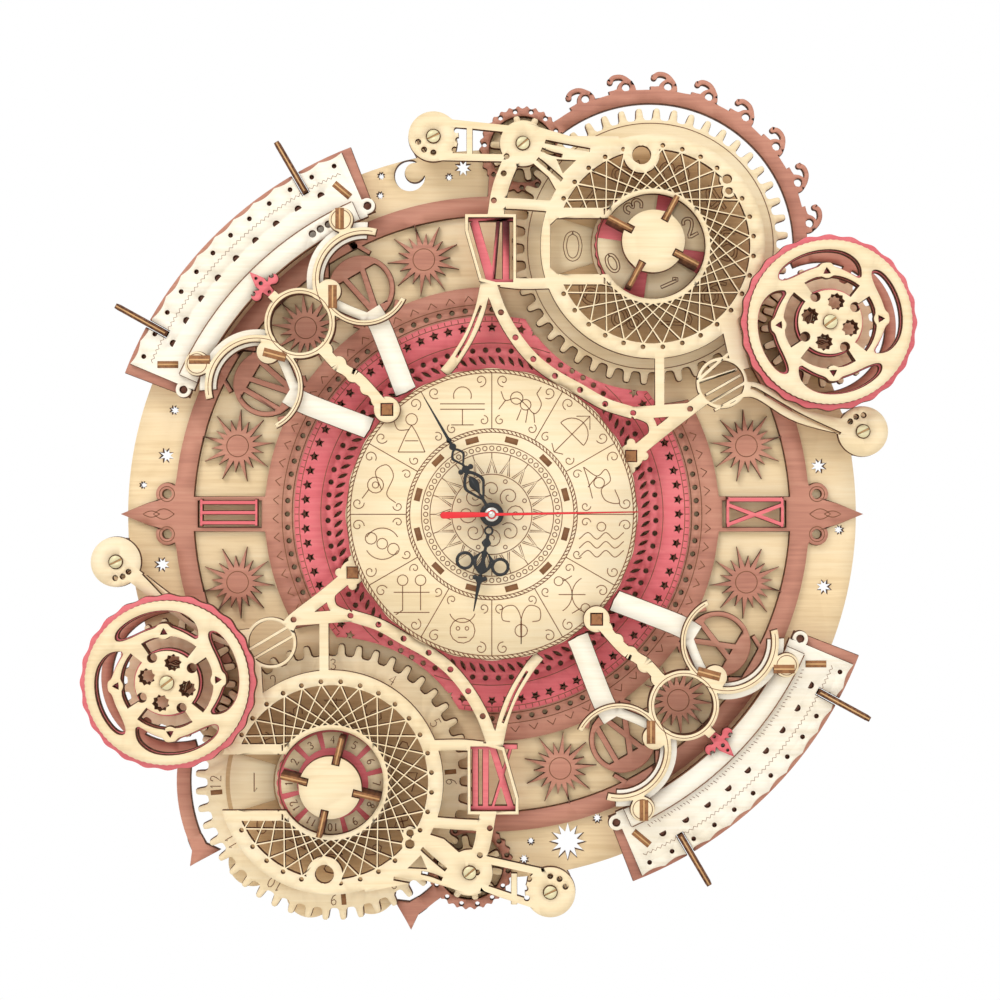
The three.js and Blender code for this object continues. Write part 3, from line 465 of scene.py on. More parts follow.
def clear_of_gears(lines, reach):
    """Runs of each line's points that lie past a reach from both big gears' axes."""
    runs = []
    for line in map(np.asarray, lines):
        far = gear_distance(line) > reach
        parts = np.split(np.arange(len(line)), np.where(np.diff(far.astype(int)))[0] + 1)
        runs += [line[part] for part in parts if far[part[0]] and len(part) > 1]
    return runs


def engrave(node, lines, high, width=0.45, finish="soot", body="face", part="engraving", rise=0.05):
    """Thin flat bars along lines, just proud of a face. Each line is offset to both sides."""
    verts, quads, base = [], [], 0
    for line in lines:
        path = np.asarray(line, float)
        n = len(path)
        side = offsets(path) * width / 2
        low, top = np.full(n, high - 0.1), np.full(n, high + rise)
        verts += [np.c_[path - side, low], np.c_[path + side, low],
                  np.c_[path + side, top], np.c_[path - side, top]]
        k = np.arange(n - 1)
        row = np.array([0, 1, 2, 3]) * n
        for first, second in zip(row, np.roll(row, -1)):
            quads.append(base + np.stack([first + k, first + k + 1, second + k + 1, second + k], -1))
        quads.append(base + np.array([row, (row + n - 1)[::-1]]))
        base += 4 * n
    quads = np.concatenate(quads)
    made = make_mesh(f"{node}_{part}", np.concatenate(verts), [quads[:, ::-1]],
                     [FINISHES[finish][0]], np.zeros(len(quads)))
    return settle(made, body, [])


def ring_line(centre, radius, fine=None):
    """Closed circle as a line whose last point repeats its first."""
    loop = circle(centre, radius, fine)
    return np.concatenate([loop, loop[:1]])


def spiral(centre, radius, start, turns=1.4, fine=18):
    """Scroll: r = radius t^0.8, a = start + 360 turns t."""
    t = np.linspace(0.12, 1, fine)
    return at(radius * t**0.8, start + 360 * turns * t, centre)


# Letters of the numerals and digits, as lines in a box one unit high that stands on y = 0.
LETTERS = {"I": (0.22, [[(0.11, 0), (0.11, 1)]]),
           "V": (0.56, [[(0.06, 1), (0.26, 0)], [(0.5, 1), (0.3, 0)]]),
           "X": (0.56, [[(0.08, 1), (0.48, 0)], [(0.48, 1), (0.08, 0)]])}
DIGITS = [".5,0;.15,.12;0,.4;0,.6;.15,.88;.5,1;.85,.88;1,.6;1,.4;.85,.12;.5,0", ".5,0;.5,1;.2,.8",
          "0,.75;.15,.95;.5,1;.85,.9;.9,.7;.6,.4;0,0;1,0",
          "0,.85;.4,1;.85,.9;.85,.65;.4,.53;.9,.4;.95,.15;.5,0;0,.12", ".8,0;.8,1;0,.35;1,.35",
          ".95,1;.15,1;.05,.55;.5,.63;.95,.45;.95,.15;.5,0;0,.1",
          ".9,1;.4,.85;.05,.5;.05,.2;.4,0;.85,.1;.95,.35;.6,.55;.1,.42", "0,1;1,1;.4,0",
          ".5,.53;.1,.7;.2,.95;.5,1;.8,.95;.9,.7;.5,.53;0,.3;.1,.08;.5,0;.9,.08;1,.3;.5,.53",
          ".9,.58;.4,.45;.05,.65;.15,.9;.6,1;.95,.8;.95,.5;.6,.15;.1,0"]
DIGITS = [np.array([[float(c) for c in p.split(",")] for p in d.split(";")]) for d in DIGITS]


def numeral(text, centre, degrees, height, width=2.0):
    """Strokes of a roman numeral about a centre, its top facing outwards."""
    x, strokes = 0.0, []
    for letter in text:
        advance, lines = LETTERS[letter]
        strokes += [np.array(line) + [x, 0] for line in lines]
        x += advance
    return [strip(local((line - [x / 2, 0.5]) * height, centre, degrees), width, 1)
            for line in strokes]


def digits(number, centre, degrees, height):
    """Lines of a number about a centre, its top facing the given way."""
    text = str(number)
    lines = []
    for k, mark in enumerate(text):
        shift = [k * 0.75 - (len(text) * 0.75 - 0.2) / 2, -0.5]
        lines.append(local((DIGITS[int(mark)] * [0.5, 1] + shift) * height, centre, degrees))
    return lines


def outlined(number, centre, degrees, height, stroke):
    """A digit drawn as the closed outline of a thick stroke, its top facing the given way."""
    mark = local((DIGITS[number] * [0.55, 1] - [0.27, 0.5]) * height, centre, degrees)
    shape = strip(curve(mark, 3), stroke, 1)
    return np.concatenate([shape, shape[:1]])


print(len(LETTERS), "letters and", len(DIGITS), "digits")


# %% [markdown]
# ## Base board
#
# The tan board carries everything. It has ears behind the lobes and small gears, and a waved
# edge behind the lower gear. Its window gives room round the movement, and small stars, a moon
# and a sun are cut through it.

# %% Base board
STAR_CUTS = [(-152.5, 49.9, 2.4), (-156.4, 28.1, 3.8), (-167.4, 13.9, 1.9), (-158.5, -24.3, 3.8),
             (-53.2, 162.3, 1.9), (-53.7, 153.0, 1.9), (-13.9, 166.4, 4.2), (-20.6, 161.8, 1.9),
             (156.9, 23.0, 3.8), (166.7, -7.6, 2.4), (159.5, -35.0, 3.8), (50.6, -146.2, 2.4),
             (18.7, -157.2, 1.9), (15.4, -165.9, 2.4)]
MOON_AT, SUN_AT = (-39.5, 162.5), (36.4, -157.3)
ears = [layer for side in SIDES.values() for layer in place(
    wood(*[circle(lobe, 11) for lobe in (NEAR_LOBE, side["far"])], circle(side["small_at"], 17)),
    side["turn"])]
crests = [circle(at(55.5, t, GEAR), 12) for t in (45, 78, 108.5)]
waves = place(wood(circle(GEAR, 57), *crests), 180)
crescent_fill = circle(np.add(MOON_AT, (2.4, 1.4)), 5.0)
plate("base_board", wood(circle((0, 0), BOARD)) + ears + waves
      + cut(circle((0, 0), BOARD_WINDOW), circle(MOON_AT, 7.2), star(SUN_AT, 12, 4.5, 9))
      + wood(crescent_fill)
      + cut(*[star((u, v), 8, 0.42 * reach, reach, 22.5) for u, v, reach in STAR_CUTS]),
      0, finish="tan")
print("base board with", len(STAR_CUTS), "cut stars")

# %% [markdown]
# ## Sun frame
#
# Two stained rings joined by eight sunbursts. Four numeral circles bridge the rings, a finial
# stands at each side, and guards run behind the gear trains. The rings stop short of the big
# gears, so the recesses are cut before the guards are laid in.

# %% Sun frame
burst_turns = (15, 105, 135, 165, 195, 285, 315, 345)
bursts = [star(at(BURST_AT, t), 18, 7.4, (17.6, 12.8), t) for t in burst_turns]
frame_layers = []
for inner, outer in (OUTER_RING, INNER_RING):
    frame_layers += wood(circle((0, 0), outer)) + cut(circle((0, 0), inner))
frame_layers += wood(*bursts)
for turn, text in {120: "V", 150: "IV", 300: "XI", 330: "X"}.items():
    centre = at(NUMERAL_CIRCLE_AT, turn)
    webs = [bar(at(143.5, turn + s * 3.4), at(NUMERAL_CIRCLE_AT + 13, turn + s * 5), 2.4)
            for s in (-1, 1)]
    webs += [bar(at(108, turn + s * 4.4), at(NUMERAL_CIRCLE_AT - 12.5, turn + s * 6.2), 2.4)
             for s in (-1, 1)]
    slabs = [at(15, turn + np.linspace(-62, 62, 24), centre),
             at(15, turn + 180 + np.linspace(-44, 44, 20), centre)]
    frame_layers += wood(circle(centre, 16), *webs) + cut(circle(centre, 13.2))
    frame_layers += wood(*slabs, *numeral(text, centre, turn, 27, 3.0))
frame_layers += cut(*[circle(at(97.9, t), 1.05, 12) for t in np.arange(96) * 3.75])


def finial(turn):
    """Pointed leaf between two curls, over the box that carries III or IX."""
    frame_box = wood(box((126, 0), 38, 17)) + cut(box((125.5, 0), 30, 12.4))
    tip = [(146, -9), (156, -8), (165, -5.4), (178, 0), (165, 5.4), (156, 8), (146, 9)]
    curl_at, aside = FINIAL_CURL_AT
    curls, holes = ([circle((curl_at, s * aside), r) for s in (-1, 1)] for r in (5.6, 2.1))
    return place(frame_box + wood(np.array(tip), *curls) + cut(*holes), turn)


frame_layers += finial(0) + finial(180)
frame_layers += cut(*[circle(turned(GEAR, t), RECESS) for t in HALF_TURNS])


def hook(turn):
    """Wave crest on the guard: a round body with a hole, and a curl that leans over backwards."""
    at_gear = lambda r, t: at(r, t, GEAR)
    curl = strip([at_gear(74.5, turn - 4.0), at_gear(79.3, turn - 3.0), at_gear(82.4, turn - 0.6),
                  at_gear(82.9, turn + 2.2), at_gear(81.2, turn + 3.9)], 2.7, 4)
    return wood(circle(at_gear(76.4, turn - 1.6), 4.6), curl, circle(at_gear(81.2, turn + 3.6), 1.5),
                band(GEAR, 74, 77.2, turn + 1, turn + 5)) + cut(circle(at_gear(77.3, turn - 1.5), 1.8))


def guards(name, side):
    """Band behind the big gear, a scalloped ring round the small one, and the pinion's ring."""
    start, end = side["pinion"] + 20, side["small"] - 12
    if name == "upper":
        rail = wood(band(GEAR, *GUARD, start, end))
        rail += [layer for t in range(10, 120, 15) for layer in hook(t)]
    else:
        feet = [strip(at(72, t + step * np.array([-5, -1, 4]), GEAR), [7, 8, 17], 1)
                for t, step in ((27, 1), (121, -1))]
        rail = wood(band(GEAR, *GUARD, start, 27), band(GEAR, *GUARD, 121, end), *feet)
    small, pinion, opened = side["small_at"], side["pinion_at"], side["pinion"] + 180
    rail += wood(wavy(small, 20.3, 30, 0.6), bar((1, 147.2), (2, 163), 7))
    rail += wood(band(pinion, *PINION_GUARD, opened + 40, opened + 320),
                 box(pinion, 2 * PINION_GUARD[0] + 2, 5, side["pinion"] + 90), circle(pinion, 9))
    rail += cut(circle(small, 15.6), circle(pinion, PIN_HOLE))
    rail += cut(*[circle(at(18.3, t, small), 1.0, 12) for t in np.arange(15) * 24 + 5])
    return place(rail, side["turn"])


for name, side in SIDES.items():
    frame_layers += guards(name, side)
plate("sun_ring_frame", frame_layers, ON_BOARD, finish="rose")

# %% Engraving of the sun frame
long_circles = [ring_line((0, 0), r, 240) for r in (90.4, 95.6, 100.4)]
short_lines = [ring_line(at(BURST_AT, t), 5.2, 30) for t in burst_turns]
for t in np.arange(72) * 5.0:
    low_left, peak, low_right = at(102.2, t), at(104.8, t + 1.2), at(102.2, t + 2.4)
    short_lines += [np.array([low_left, peak]), np.array([peak, low_right])]
for turn in HALF_TURNS:
    petals = [turned(leaf((157 + 6 * k, 0), 10 - 2 * k, 5 - 2 * k, 0, 9), turn) for k in (0, 1)]
    short_lines += [np.concatenate([p, p[:1]]) for p in petals]
    short_lines += [ring_line(turned((FINIAL_CURL_AT[0], s * FINIAL_CURL_AT[1]), turn), 3.6, 20)
                    for s in (-1, 1)]
whole = [line for line in short_lines if gear_distance(line).min() > RECESS]
drawn = clear_of_gears(long_circles + whole, RECESS + 0.6)
engrave("sun_ring_frame", drawn, ON_BOARD + PLY, 0.4)
print("sun frame:", len(drawn), "engraved lines")

# %% [markdown]
# ## Star ring
#
# Eighty stars, eighty dots and a hundred slanted slots are cut through the coral ring, each kind
# as one shape set round a circle. Its ticks stop short of the big gears.

# %% Star ring
stars = [star(at(89.0, t), 5, 1.0, 2.35, t) for t in np.arange(80) * 4.5]
dots = [circle(at(78.2, t), 1.15, 12) for t in np.arange(80) * 4.5 + 2.25]
slots = [leaf(at(73.4, t), 5.4, 1.5, t + 38, 5) for t in np.arange(100) * 3.6]
posts = [box(turned(p, t), LUG_HOLE, LUG_HOLE) for p in (BRIDGE_LUG, PLANET_LUG)
         for t in HALF_TURNS]
gear_gaps = [circle(turned(GEAR, t), RECESS - 6) for t in HALF_TURNS]
plate("star_ring", wood(circle((0, 0), STAR_RING[1])) + cut(circle((0, 0), STAR_RING[0]))
      + cut(*stars, *dots, *slots, *posts, *gear_gaps), STARS_AT, finish="coral", kerf=0.14)
ticks = [np.array([at(92.3, t), at(94.0, t)]) for t in np.arange(180) * 2.0]
ticks += [ring_line((0, 0), r, 200) for r in (81.6, 92.0)]
engrave("star_ring", clear_of_gears(ticks, RECESS - 5.4), STARS_AT + PLY, 0.35)
print("star ring:", len(stars), "stars,", len(dots), "dots and", len(slots), "slots")

# %% [markdown]
# ## Numerals
#
# III and IX lie on the finials' boxes. VI and XII lie just under the bridges' frames, so the
# pale rails hold their ends.

# %% Numerals
# Strokes as (start, end, width), with the end bars or the short serifs last.
NUMERALS = {
    "iii": (STARS_AT, [((-139, 0.7 + v), (-112, 0.7 + v), 2.2) for v in (-4.8, 0, 4.8)]
            + [((u, -5.9), (u, 7.3), 1.7) for u in (-138.6, -112.4)]),
    "ix": (STARS_AT, [((112, 6.9), (139, 6.9), 2.2), ((112, 4.6), (139, -5.2), 2.2),
                      ((112, -5.2), (139, 4.6), 2.2), ((112.6, -6.4), (112.6, 8.4), 1.7),
                      ((138.4, -6.4), (138.4, 8.4), 1.7)]),
    "vi": (BRIDGE_AT - PLY, [((-8.4, 138.4), (-0.4, 110.4), 4.4), ((3.0, 138.4), (0.6, 110.4), 2.0),
                             ((6.6, 138.4), (6.6, 110.4), 3.6), ((-12.2, 139.6), (11, 139.6), 2.8),
                             ((-3, 109.8), (11, 109.8), 2.8)]),
    "xii": (BRIDGE_AT - PLY, [((-7.8, -110.4), (-7.8, -138.4), 3.2),
                               ((-3.0, -110.4), (-3.0, -138.4), 3.2),
                              ((0.4, -110.4), (9.0, -138.4), 3.4),
                               ((9.0, -110.4), (0.4, -138.4), 1.8),
                              ((-11, -109.8), (12.2, -109.8), 2.8),
                              ((-11, -138.8), (12.2, -138.8), 2.8)]),
}
for name, (low, strokes) in NUMERALS.items():
    plate(f"numeral_{name}", wood(*[bar(*stroke) for stroke in strokes]), low, finish="coral")
print("numerals:", ", ".join(NUMERALS))

# %% [markdown]
# ## Dial
#
# The dial is one pale sheet with everything engraved on it: a rope rim, twelve sectors with a
# sign in each, brown plaques under the signs, a ring of small circles and a rayed sun. The signs
# are a few arcs and lines each, drawn in a unit square and set down by one function.

# %% Dial
plate("dial_plate", wood(wavy((0, 0), DIAL, 24, 0.3)) + cut(circle((0, 0), 4.2), *posts), DIAL_AT)
DIAL_TOP = DIAL_AT + PLY


def loop(x, y, radius, start=0, end=360):
    """Arc of fourteen points about (x, y)."""
    return at(radius, np.linspace(start, end, 14), (x, y))


# Each sign: lines in a unit square about (0, 0), top at y = 0.5.
SIGNS = {
    "scales": [[(-.5, -.1), (.5, -.1)], [(-.5, .02), (.5, .02)], loop(0, .2, .2, -20, 200),
               [(0, -.1), (0, -.45)], [(-.25, -.45), (.25, -.45)]],
    "scorpion": [curve([(-.45, .3), (-.35, .1), (-.1, .15), (.1, 0), (.3, -.2), (.45, 0),
                        (.35, .25)]), loop(-.1, .15, .14), loop(.1, 0, .12),
                 [(-.35, .1), (-.5, -.1)], [(.35, .25), (.45, .4)],
                 [(0, -.1), (-.1, -.35)], [(.15, -.1), (.1, -.4)], [(.28, -.18), (.3, -.4)]],
    "archer": [[(-.4, -.4), (.4, .4)], [(.1, .4), (.4, .4), (.4, .1)], loop(0, 0, .36, -45, 135),
               [(-.25, .25), (.25, -.25)], [(-.4, -.4), (-.45, -.2)], [(-.4, -.4), (-.2, -.45)]],
    "goat": [curve([(-.4, .4), (-.1, .2), (.1, .35), (.2, .1), (0, -.1), (.1, -.35), (.4, -.4),
                    (.3, -.1)]), curve([(-.4, .4), (-.3, .1), (-.2, -.3)]), loop(-.05, .05, .12),
             [(-.1, .2), (-.3, -.05)]],
    "water": [curve([(-.5, .1), (-.3, .25), (-.1, .1), (.1, .25), (.3, .1), (.5, .25)]),
              curve([(-.5, -.1), (-.3, .05), (-.1, -.1), (.1, .05), (.3, -.1), (.5, .05)]),
              curve([(-.5, -.3), (-.3, -.15), (-.1, -.3), (.1, -.15), (.3, -.3), (.5, -.15)]),
              loop(0, .38, .1)],
    "fishes": [loop(-.42, 0, .42, -60, 60), loop(.42, 0, .42, 120, 240), [(-.3, 0), (.3, 0)],
               loop(-.3, .3, .1), loop(.3, -.3, .1), [(-.2, .3), (0, .42)], [(.2, -.3), (0, -.42)]],
    "ram": [curve([(0, -.45), (0, .1), (-.15, .4), (-.4, .35), (-.42, .1), (-.25, .05)]),
            curve([(0, -.45), (0, .1), (.15, .4), (.4, .35), (.42, .1), (.25, .05)]),
            loop(0, -.15, .14)],
    "bull": [loop(0, -.15, .28), loop(0, .33, .3, 200, 340), loop(-.1, -.1, .04), loop(.1, -.1, .04),
             [(-.1, -.3), (.1, -.3)]],
    "twins": [[(-.2, -.35), (-.2, .2)], [(.2, -.35), (.2, .2)], loop(-.2, .32, .12),
              loop(.2, .32, .12), [(-.4, -.4), (.4, -.4)], [(-.4, .05), (.4, .05)],
              [(-.2, -.35), (-.35, -.45)]],
    "crab": [loop(-.25, .12, .13), loop(.25, -.12, .13), loop(0, -.05, .4, 30, 150),
             loop(0, .05, .4, 210, 330), loop(0, 0, .12)],
    "lion": [loop(-.15, 0, .18),
             curve([(-.02, -.1), (-.15, .3), (.1, .45), (.25, .2), (.1, -.2), (.3, -.4)]),
             [(-.3, -.1), (-.45, -.3)], loop(-.15, 0, .07)],
    "maiden": [loop(0, .33, .13), curve([(0, .2), (-.12, 0), (-.3, -.4)]),
               curve([(0, .2), (.12, 0), (.3, -.4)]), [(-.3, -.4), (.3, -.4)],
               curve([(-.05, .1), (-.3, .1), (-.4, .3)]), [(-.15, -.15), (.15, -.15)]],
}
ORDER = ("water", "goat", "archer", "scorpion", "scales", "maiden", "lion", "crab", "twins",
         "bull", "ram", "fishes")
SIGN_AT, SIGN_HEIGHT, SUN_EDGE = 53.2, 21, 19.4

# %% Engraving of the dial
lines = [ring_line((0, 0), r, 240) for r in (68.0, 66.4, 40.1, 38.5, 33.0, 29.0)]
lines += [ring_line((0, 0), 18.8, 90)]
lines += [np.array([at(66.5, t), at(67.9, t + 1.6)]) for t in np.arange(180) * 2.0]
lines += [np.array([at(38.7, t), at(39.9, t + 2.2)]) for t in np.arange(120) * 3.0]
lines += [ring_line(at(31.0, t), 1.05, 10) for t in np.arange(60) * 6.0]
for k in range(12):
    lines += [np.array([at(40.1, 30 * k), at(66.4, 30 * k)])]
    turn = -15 + 30 * k
    for sign_line in SIGNS[ORDER[k]]:
        lines.append(local(np.asarray(sign_line, float) * SIGN_HEIGHT, at(SIGN_AT, turn), 90))
    for s in (-1, 1):
        lines += [spiral(at(63.0, turn + s * 10.2), 3.0, turn + 90 * s, s * 1.3),
                  spiral(at(44.2, turn + s * 10.0), 2.4, turn + 180 - 90 * s, -s * 1.2)]
for t in np.arange(20) * 18.0:
    for reach, wide in ((26.6, 7.2), (24.6, 4.6)):
        lines.append(np.array([at(SUN_EDGE, t - wide), at(reach, t), at(SUN_EDGE, t + wide)]))
    lines.append(np.array([at(26.4, t), at(28.8, t)]))
lines += [spiral(at(11.6, t), 4.6, t, 1.5) for t in np.arange(8) * 45.0]
lines += [ring_line(at(16.6, t + 22.5), 0.9, 10) for t in np.arange(8) * 45.0]
engrave("dial_plate", lines, DIAL_TOP, 0.42)
plaques = [box(at(35.7, 15 + 30 * k), 2.9, 6.2, 15 + 30 * k) for k in range(12)]
detail("dial_plate", "plaques", wood(*plaques), DIAL_TOP - 0.5, DIAL_TOP + 0.08, "scorched")
print("dial:", len(lines), "engraved lines")

# %% [markdown]
# ## Gear trains
#
# A tooth is drawn once, with round flanks, in shares of the tooth's own pitch. The phases are
# the imported model's: a gap of the driven gear faces a tooth of its driver. Each calendar gear
# has a ring with numbers, darkened as painted shade for the bridge's net over it, and a pad of
# its own cream where it shows, lit, in the bridge's reading window.


# %% Gears
def gear_outline(centre, teeth, phase):
    """Teeth from one profile of (share of a tooth's pitch, height in modules)."""
    flank = np.array([(0.09, 0.93), (0.18, 0.66), (0.22, 0.1), (0.26, -0.85), (0.34, -1.16)])
    profile = np.concatenate([[(-0.5, -1.22)], flank[::-1] * [-1, 1], flank])
    tooth, (share, height) = np.arange(teeth)[:, None], profile.T
    turns = phase + (tooth + share) * 360 / teeth
    return at((pitch(teeth) + height * MODULE) * np.ones_like(turns), turns, centre).reshape(-1, 2)


def mesh_phase(teeth, leader_teeth, leader_phase, direction):
    """Phase of a follower whose gap faces a tooth of its leader."""
    return direction + 180 - (180 - leader_teeth * (direction - leader_phase)) / teeth


def screw_head(node, centre, radius, base, degrees, body, nodes=()):
    """Round slotted head: a chamfered disc with a slot cut across it."""
    slot = box(centre, 2 * radius + 1, 0.17 * radius, degrees)
    plate(node, wood(circle(centre, radius)) + cut(slot), base, base + 1.0, "brass", body,
          list(nodes), part="head", kerf=0.35)
    detail(node, "slot", wood(circle(centre, radius - 0.2)), base - 0.4, base + 0.55, "stripe", body)


def washer(centre, radius, bumps=12, height=0.2, hole=2.6):
    """Round washer with a lightly waved edge."""
    return wood(wavy(centre, radius, bumps, height)) + cut(circle(centre, hole))


GEAR_TOP, RING_TOP, PAD_TOP = GEARS_AT + PLY, GEARS_AT + PLY + 0.3, GEARS_AT + PLY + 0.42


def big_gear(name, side):
    """Calendar gear: teeth, a ring of numbers darkened as painted shade, and a pale pad, lit, under
    the reading window.
    """
    node, gear = side["gear"], turned(GEAR, side["turn"])
    outline = gear_outline(gear, TEETH, side["turn"] + side["pinion"])
    holes = [circle(at(46, t, gear), 4.0) for t in np.arange(8) * 45 + 22] if name == "lower" else []
    plate(node, wood(outline) + cut(circle(gear, PIN_HOLE), *holes), GEARS_AT, body=node)
    ring = wood(circle(gear, 51.5)) + cut(circle(gear, 28))
    # painted shade: the number ring is darker than the gear's cream, for the shade under the bridge's
    # net
    detail(node, "number_ring", ring, GEAR_TOP - 0.4, RING_TOP, "painted_shade_veneer", node, 0.1)
    # the pad is the ring's own cream, lit in the reading window; the rest of the ring keeps the
    # painted shade
    pad = wood(band(gear, 28.5, 49.5, 163, 197))
    detail(node, "lit_window_pad", pad, GEAR_TOP, PAD_TOP, "cream", node, 0.1)
    if name == "upper":
        ones = [outlined(k, at(37, 180 - 36 * k, gear), 270 - 36 * k, 13, 1.5) for k in range(10)]
        engrave(node, ones, PAD_TOP, 0.4, body=node, part="ones")
        engrave(node, [ring_line(gear, 58.6, 180)], GEAR_TOP, 0.4, body=node)
        return
    spots = [(k + 1, 30 * k) for k in range(12)]
    inner = [line for k, t in spots for line in digits(k, at(38, 180 - t, gear), 270 - t, 9)]
    outer = [line for k, t in spots for line in digits(k, at(56.2, 150 - t, gear), 150 - t, 5.0)]
    marks = wood(*[box(at(56.0, t, gear), 5.6, 2.4, t) for t in (5, 95, 185, 275)])
    engrave(node, inner, PAD_TOP, 0.5, body=node, part="months")
    detail(node, "marks", marks, GEAR_TOP - 0.5, GEAR_TOP + 0.06, "scorched", node)
    engrave(node, outer, GEAR_TOP, 0.4, body=node)


def small_wheels(name, side):
    """Small gear and pinion, each in the phase that meshes with the big gear."""
    pinion, small = (turned(side[p], side["turn"]) for p in ("pinion_at", "small_at"))
    to_pinion, to_small = side["turn"] + side["pinion"], side["turn"] + side["small"]
    teeth = gear_outline(small, SMALL_TEETH, mesh_phase(SMALL_TEETH, TEETH, to_pinion, to_small))
    node = f"small_gear_{name}"
    plate(node, wood(teeth) + cut(circle(small, PIN_HOLE)), GEARS_AT, body=node)
    teeth = gear_outline(pinion, PINION_TEETH, mesh_phase(PINION_TEETH, TEETH, to_pinion, to_pinion))
    node, body = f"pinion_{name}", f"handwheel_{name}"
    plate(node, wood(teeth) + cut(circle(pinion, SCREW_HOLE)), GEARS_AT, body=body)
    for k in range(6):
        low, radius = (k + 3) * PLY, 7.6 if k % 2 else 8.4
        stub = washer(pinion, radius, 12, 0.25, SCREW_HOLE)
        detail(node, f"washer_{k}", stub, low, low + PLY, "cream", body, KERF)


def pins_and_posts(name, side):
    """Collars and dowels of the gears, and the stacks of washers under a bridge's lobes."""
    turn = side["turn"]
    four = (GEAR, side["small_at"], NEAR_LOBE, side["far"])
    gear, small, near, far = (turned(p, turn) for p in four)
    pins = ((f"gear_arbor_{name}", gear, PLANETS_AT - GAP),
            (f"small_gear_pin_{name}", small, BRIDGE_AT + PLY))
    for node, spot, high in pins:
        plate(node, washer(spot, 7.4), ON_BOARD, GEARS_AT - GAP, part="collar")
        detail(node, "dowel", wood(circle(spot, 2.95)), ON_BOARD, high, "cream", kerf=0.1)
    screw_head(pins[1][0], small, SCREW_HEAD, BRIDGE_AT + PLY - 0.2, turn + 40, "face")
    for which, spot in (("near", near), ("far", far)):
        node = f"bridge_post_{name}_{which}"
        for k in range(5):
            plate(node, washer(spot, 8.0 if k % 2 else 7.2), (k + 1) * PLY,
                  nodes=[] if k else [node], part=f"washer_{k}")
        screw_head(node, spot, SCREW_HEAD, BRIDGE_AT + PLY - 0.3, turn + 25, "face")


for name, side in SIDES.items():
    big_gear(name, side)
    small_wheels(name, side)
    pins_and_posts(name, side)
print("gears:", 2 * TEETH, "big teeth,", 2 * (SMALL_TEETH + PINION_TEETH), "small ones")

# %% [markdown]
# ## Number dials and knobs
#
# A coral disc carries pale number plates: four for the tens of the date, twelve for the months.
# Its knob is a round pale cap on four crossed fins, whose burnt edges stand a little proud.

# %% Number dials and knobs
for name, side in SIDES.items():
    gear, body = turned(GEAR, side["turn"]), side["dial"]
    plate(body, wood(wavy(gear, 26.7, 36, 0.3)) + cut(circle(gear, 3.3)), NUMBERS_AT, finish="coral",
          body=body)
    top = NUMBERS_AT + PLY
    if name == "upper":
        spots = [(205 + 90 * k, k) for k in range(4)]
        pads = [band(gear, 13.5, 26.0, t - 33, t + 33) for t, _ in spots]
        lines = [outlined(k, at(20.2, t, gear), t + 90, 8.4, 1.3) for t, k in spots]
    else:
        spots = [(180 - 30 * k, k + 1) for k in range(12)]
        pads = [band(gear, 16.8, 24.6, t - 12, t + 12) for t, _ in spots]
        lines = [line for t, k in spots for line in digits(k, at(20.8, t, gear), t, 3.6)]
    detail(body, "number_plates", wood(*pads), top - 0.4, top + 0.12, "cream", body, 0.12)
    engrave(body, lines + [ring_line(gear, 25.7, 90)], top + 0.12, 0.5, body=body, part="digits")
    node, knob = f"{body}_knob", side["turn"] + side["knob"]
    fins, cores = ([box(at(17.5, knob + q, gear), long, wide, knob + q) for q in QUARTERS]
                   for long, wide in ((13.0, PLY), (12.6, 0.8)))
    slots = [box(at(14.0, knob + q, gear), 6.0, PLY + 0.2, knob + q) for q in QUARTERS]
    cap_top = PLANETS_AT + PLY
    plate(node, wood(circle(gear, 15)) + cut(*slots), PLANETS_AT, body=body)
    detail(node, "fins", wood(*fins), top, cap_top + 0.5, "burnt", body, 0.2)
    detail(node, "fin_cores", wood(*cores), cap_top, cap_top + 0.56, "stripe", body)
print("number dials:", ", ".join(side["dial"] for side in SIDES.values()))

# %% [markdown]
# ## Handwheels
#
# A pale wheel on a coral one. Both have four swirled outer windows, four inner arcs, and round
# and serrated holes. The coral wheel's are a little smaller, so it shows as a rim in each of the
# pale one's. Four pads on the pale wheel carry small triangles.


# %% Handwheels
# One outer window as (angle from its pad, radius) pairs: out along the rim, back past the pad.
SWIRL = np.array([(-38, 25.4), (-33, 28.6), (-27, 30.9), (-18, 32.6), (-8, 33.3), (10, 33.5),
                  (28, 33.5), (39, 33.2), (44.5, 32.2), (46.5, 30.6), (44, 28.9), (38, 27.4),
                  (30, 26.5), (18, 26.2), (9, 26.4), (4, 27.7), (-4, 27.7), (-9, 26.0),
                  (-20, 25.0), (-31, 24.4), (-36, 24.3)])
SWIRL_MIDDLE = np.array([4.0, 30.0])


def wheel_windows(centre, turn, grow):
    """Swirled outer windows, inner ones, round holes and serrated ones, all four times round."""
    swirl = curve(np.concatenate([SWIRL, SWIRL[:1]]), 4)[:-1]
    swirl = SWIRL_MIDDLE + (swirl - SWIRL_MIDDLE) * [1 + grow / 20, 1 + grow / 5.5]
    outlines = []
    for a in turn + np.array(QUARTERS):
        outlines += [at(swirl[:, 1], a + swirl[:, 0], centre),
                     band(centre, 15.2 - grow, 21.4 + grow * 0.5, a - 42 - grow, a + 29 + grow),
                     circle(at(13.5, a + 27, centre), 2.1 + 0.3 * grow),
                     star(at(9.8, a + 70, centre), 9, 2.9 + 0.4 * grow, 3.7 + 0.4 * grow, a)]
    return outlines


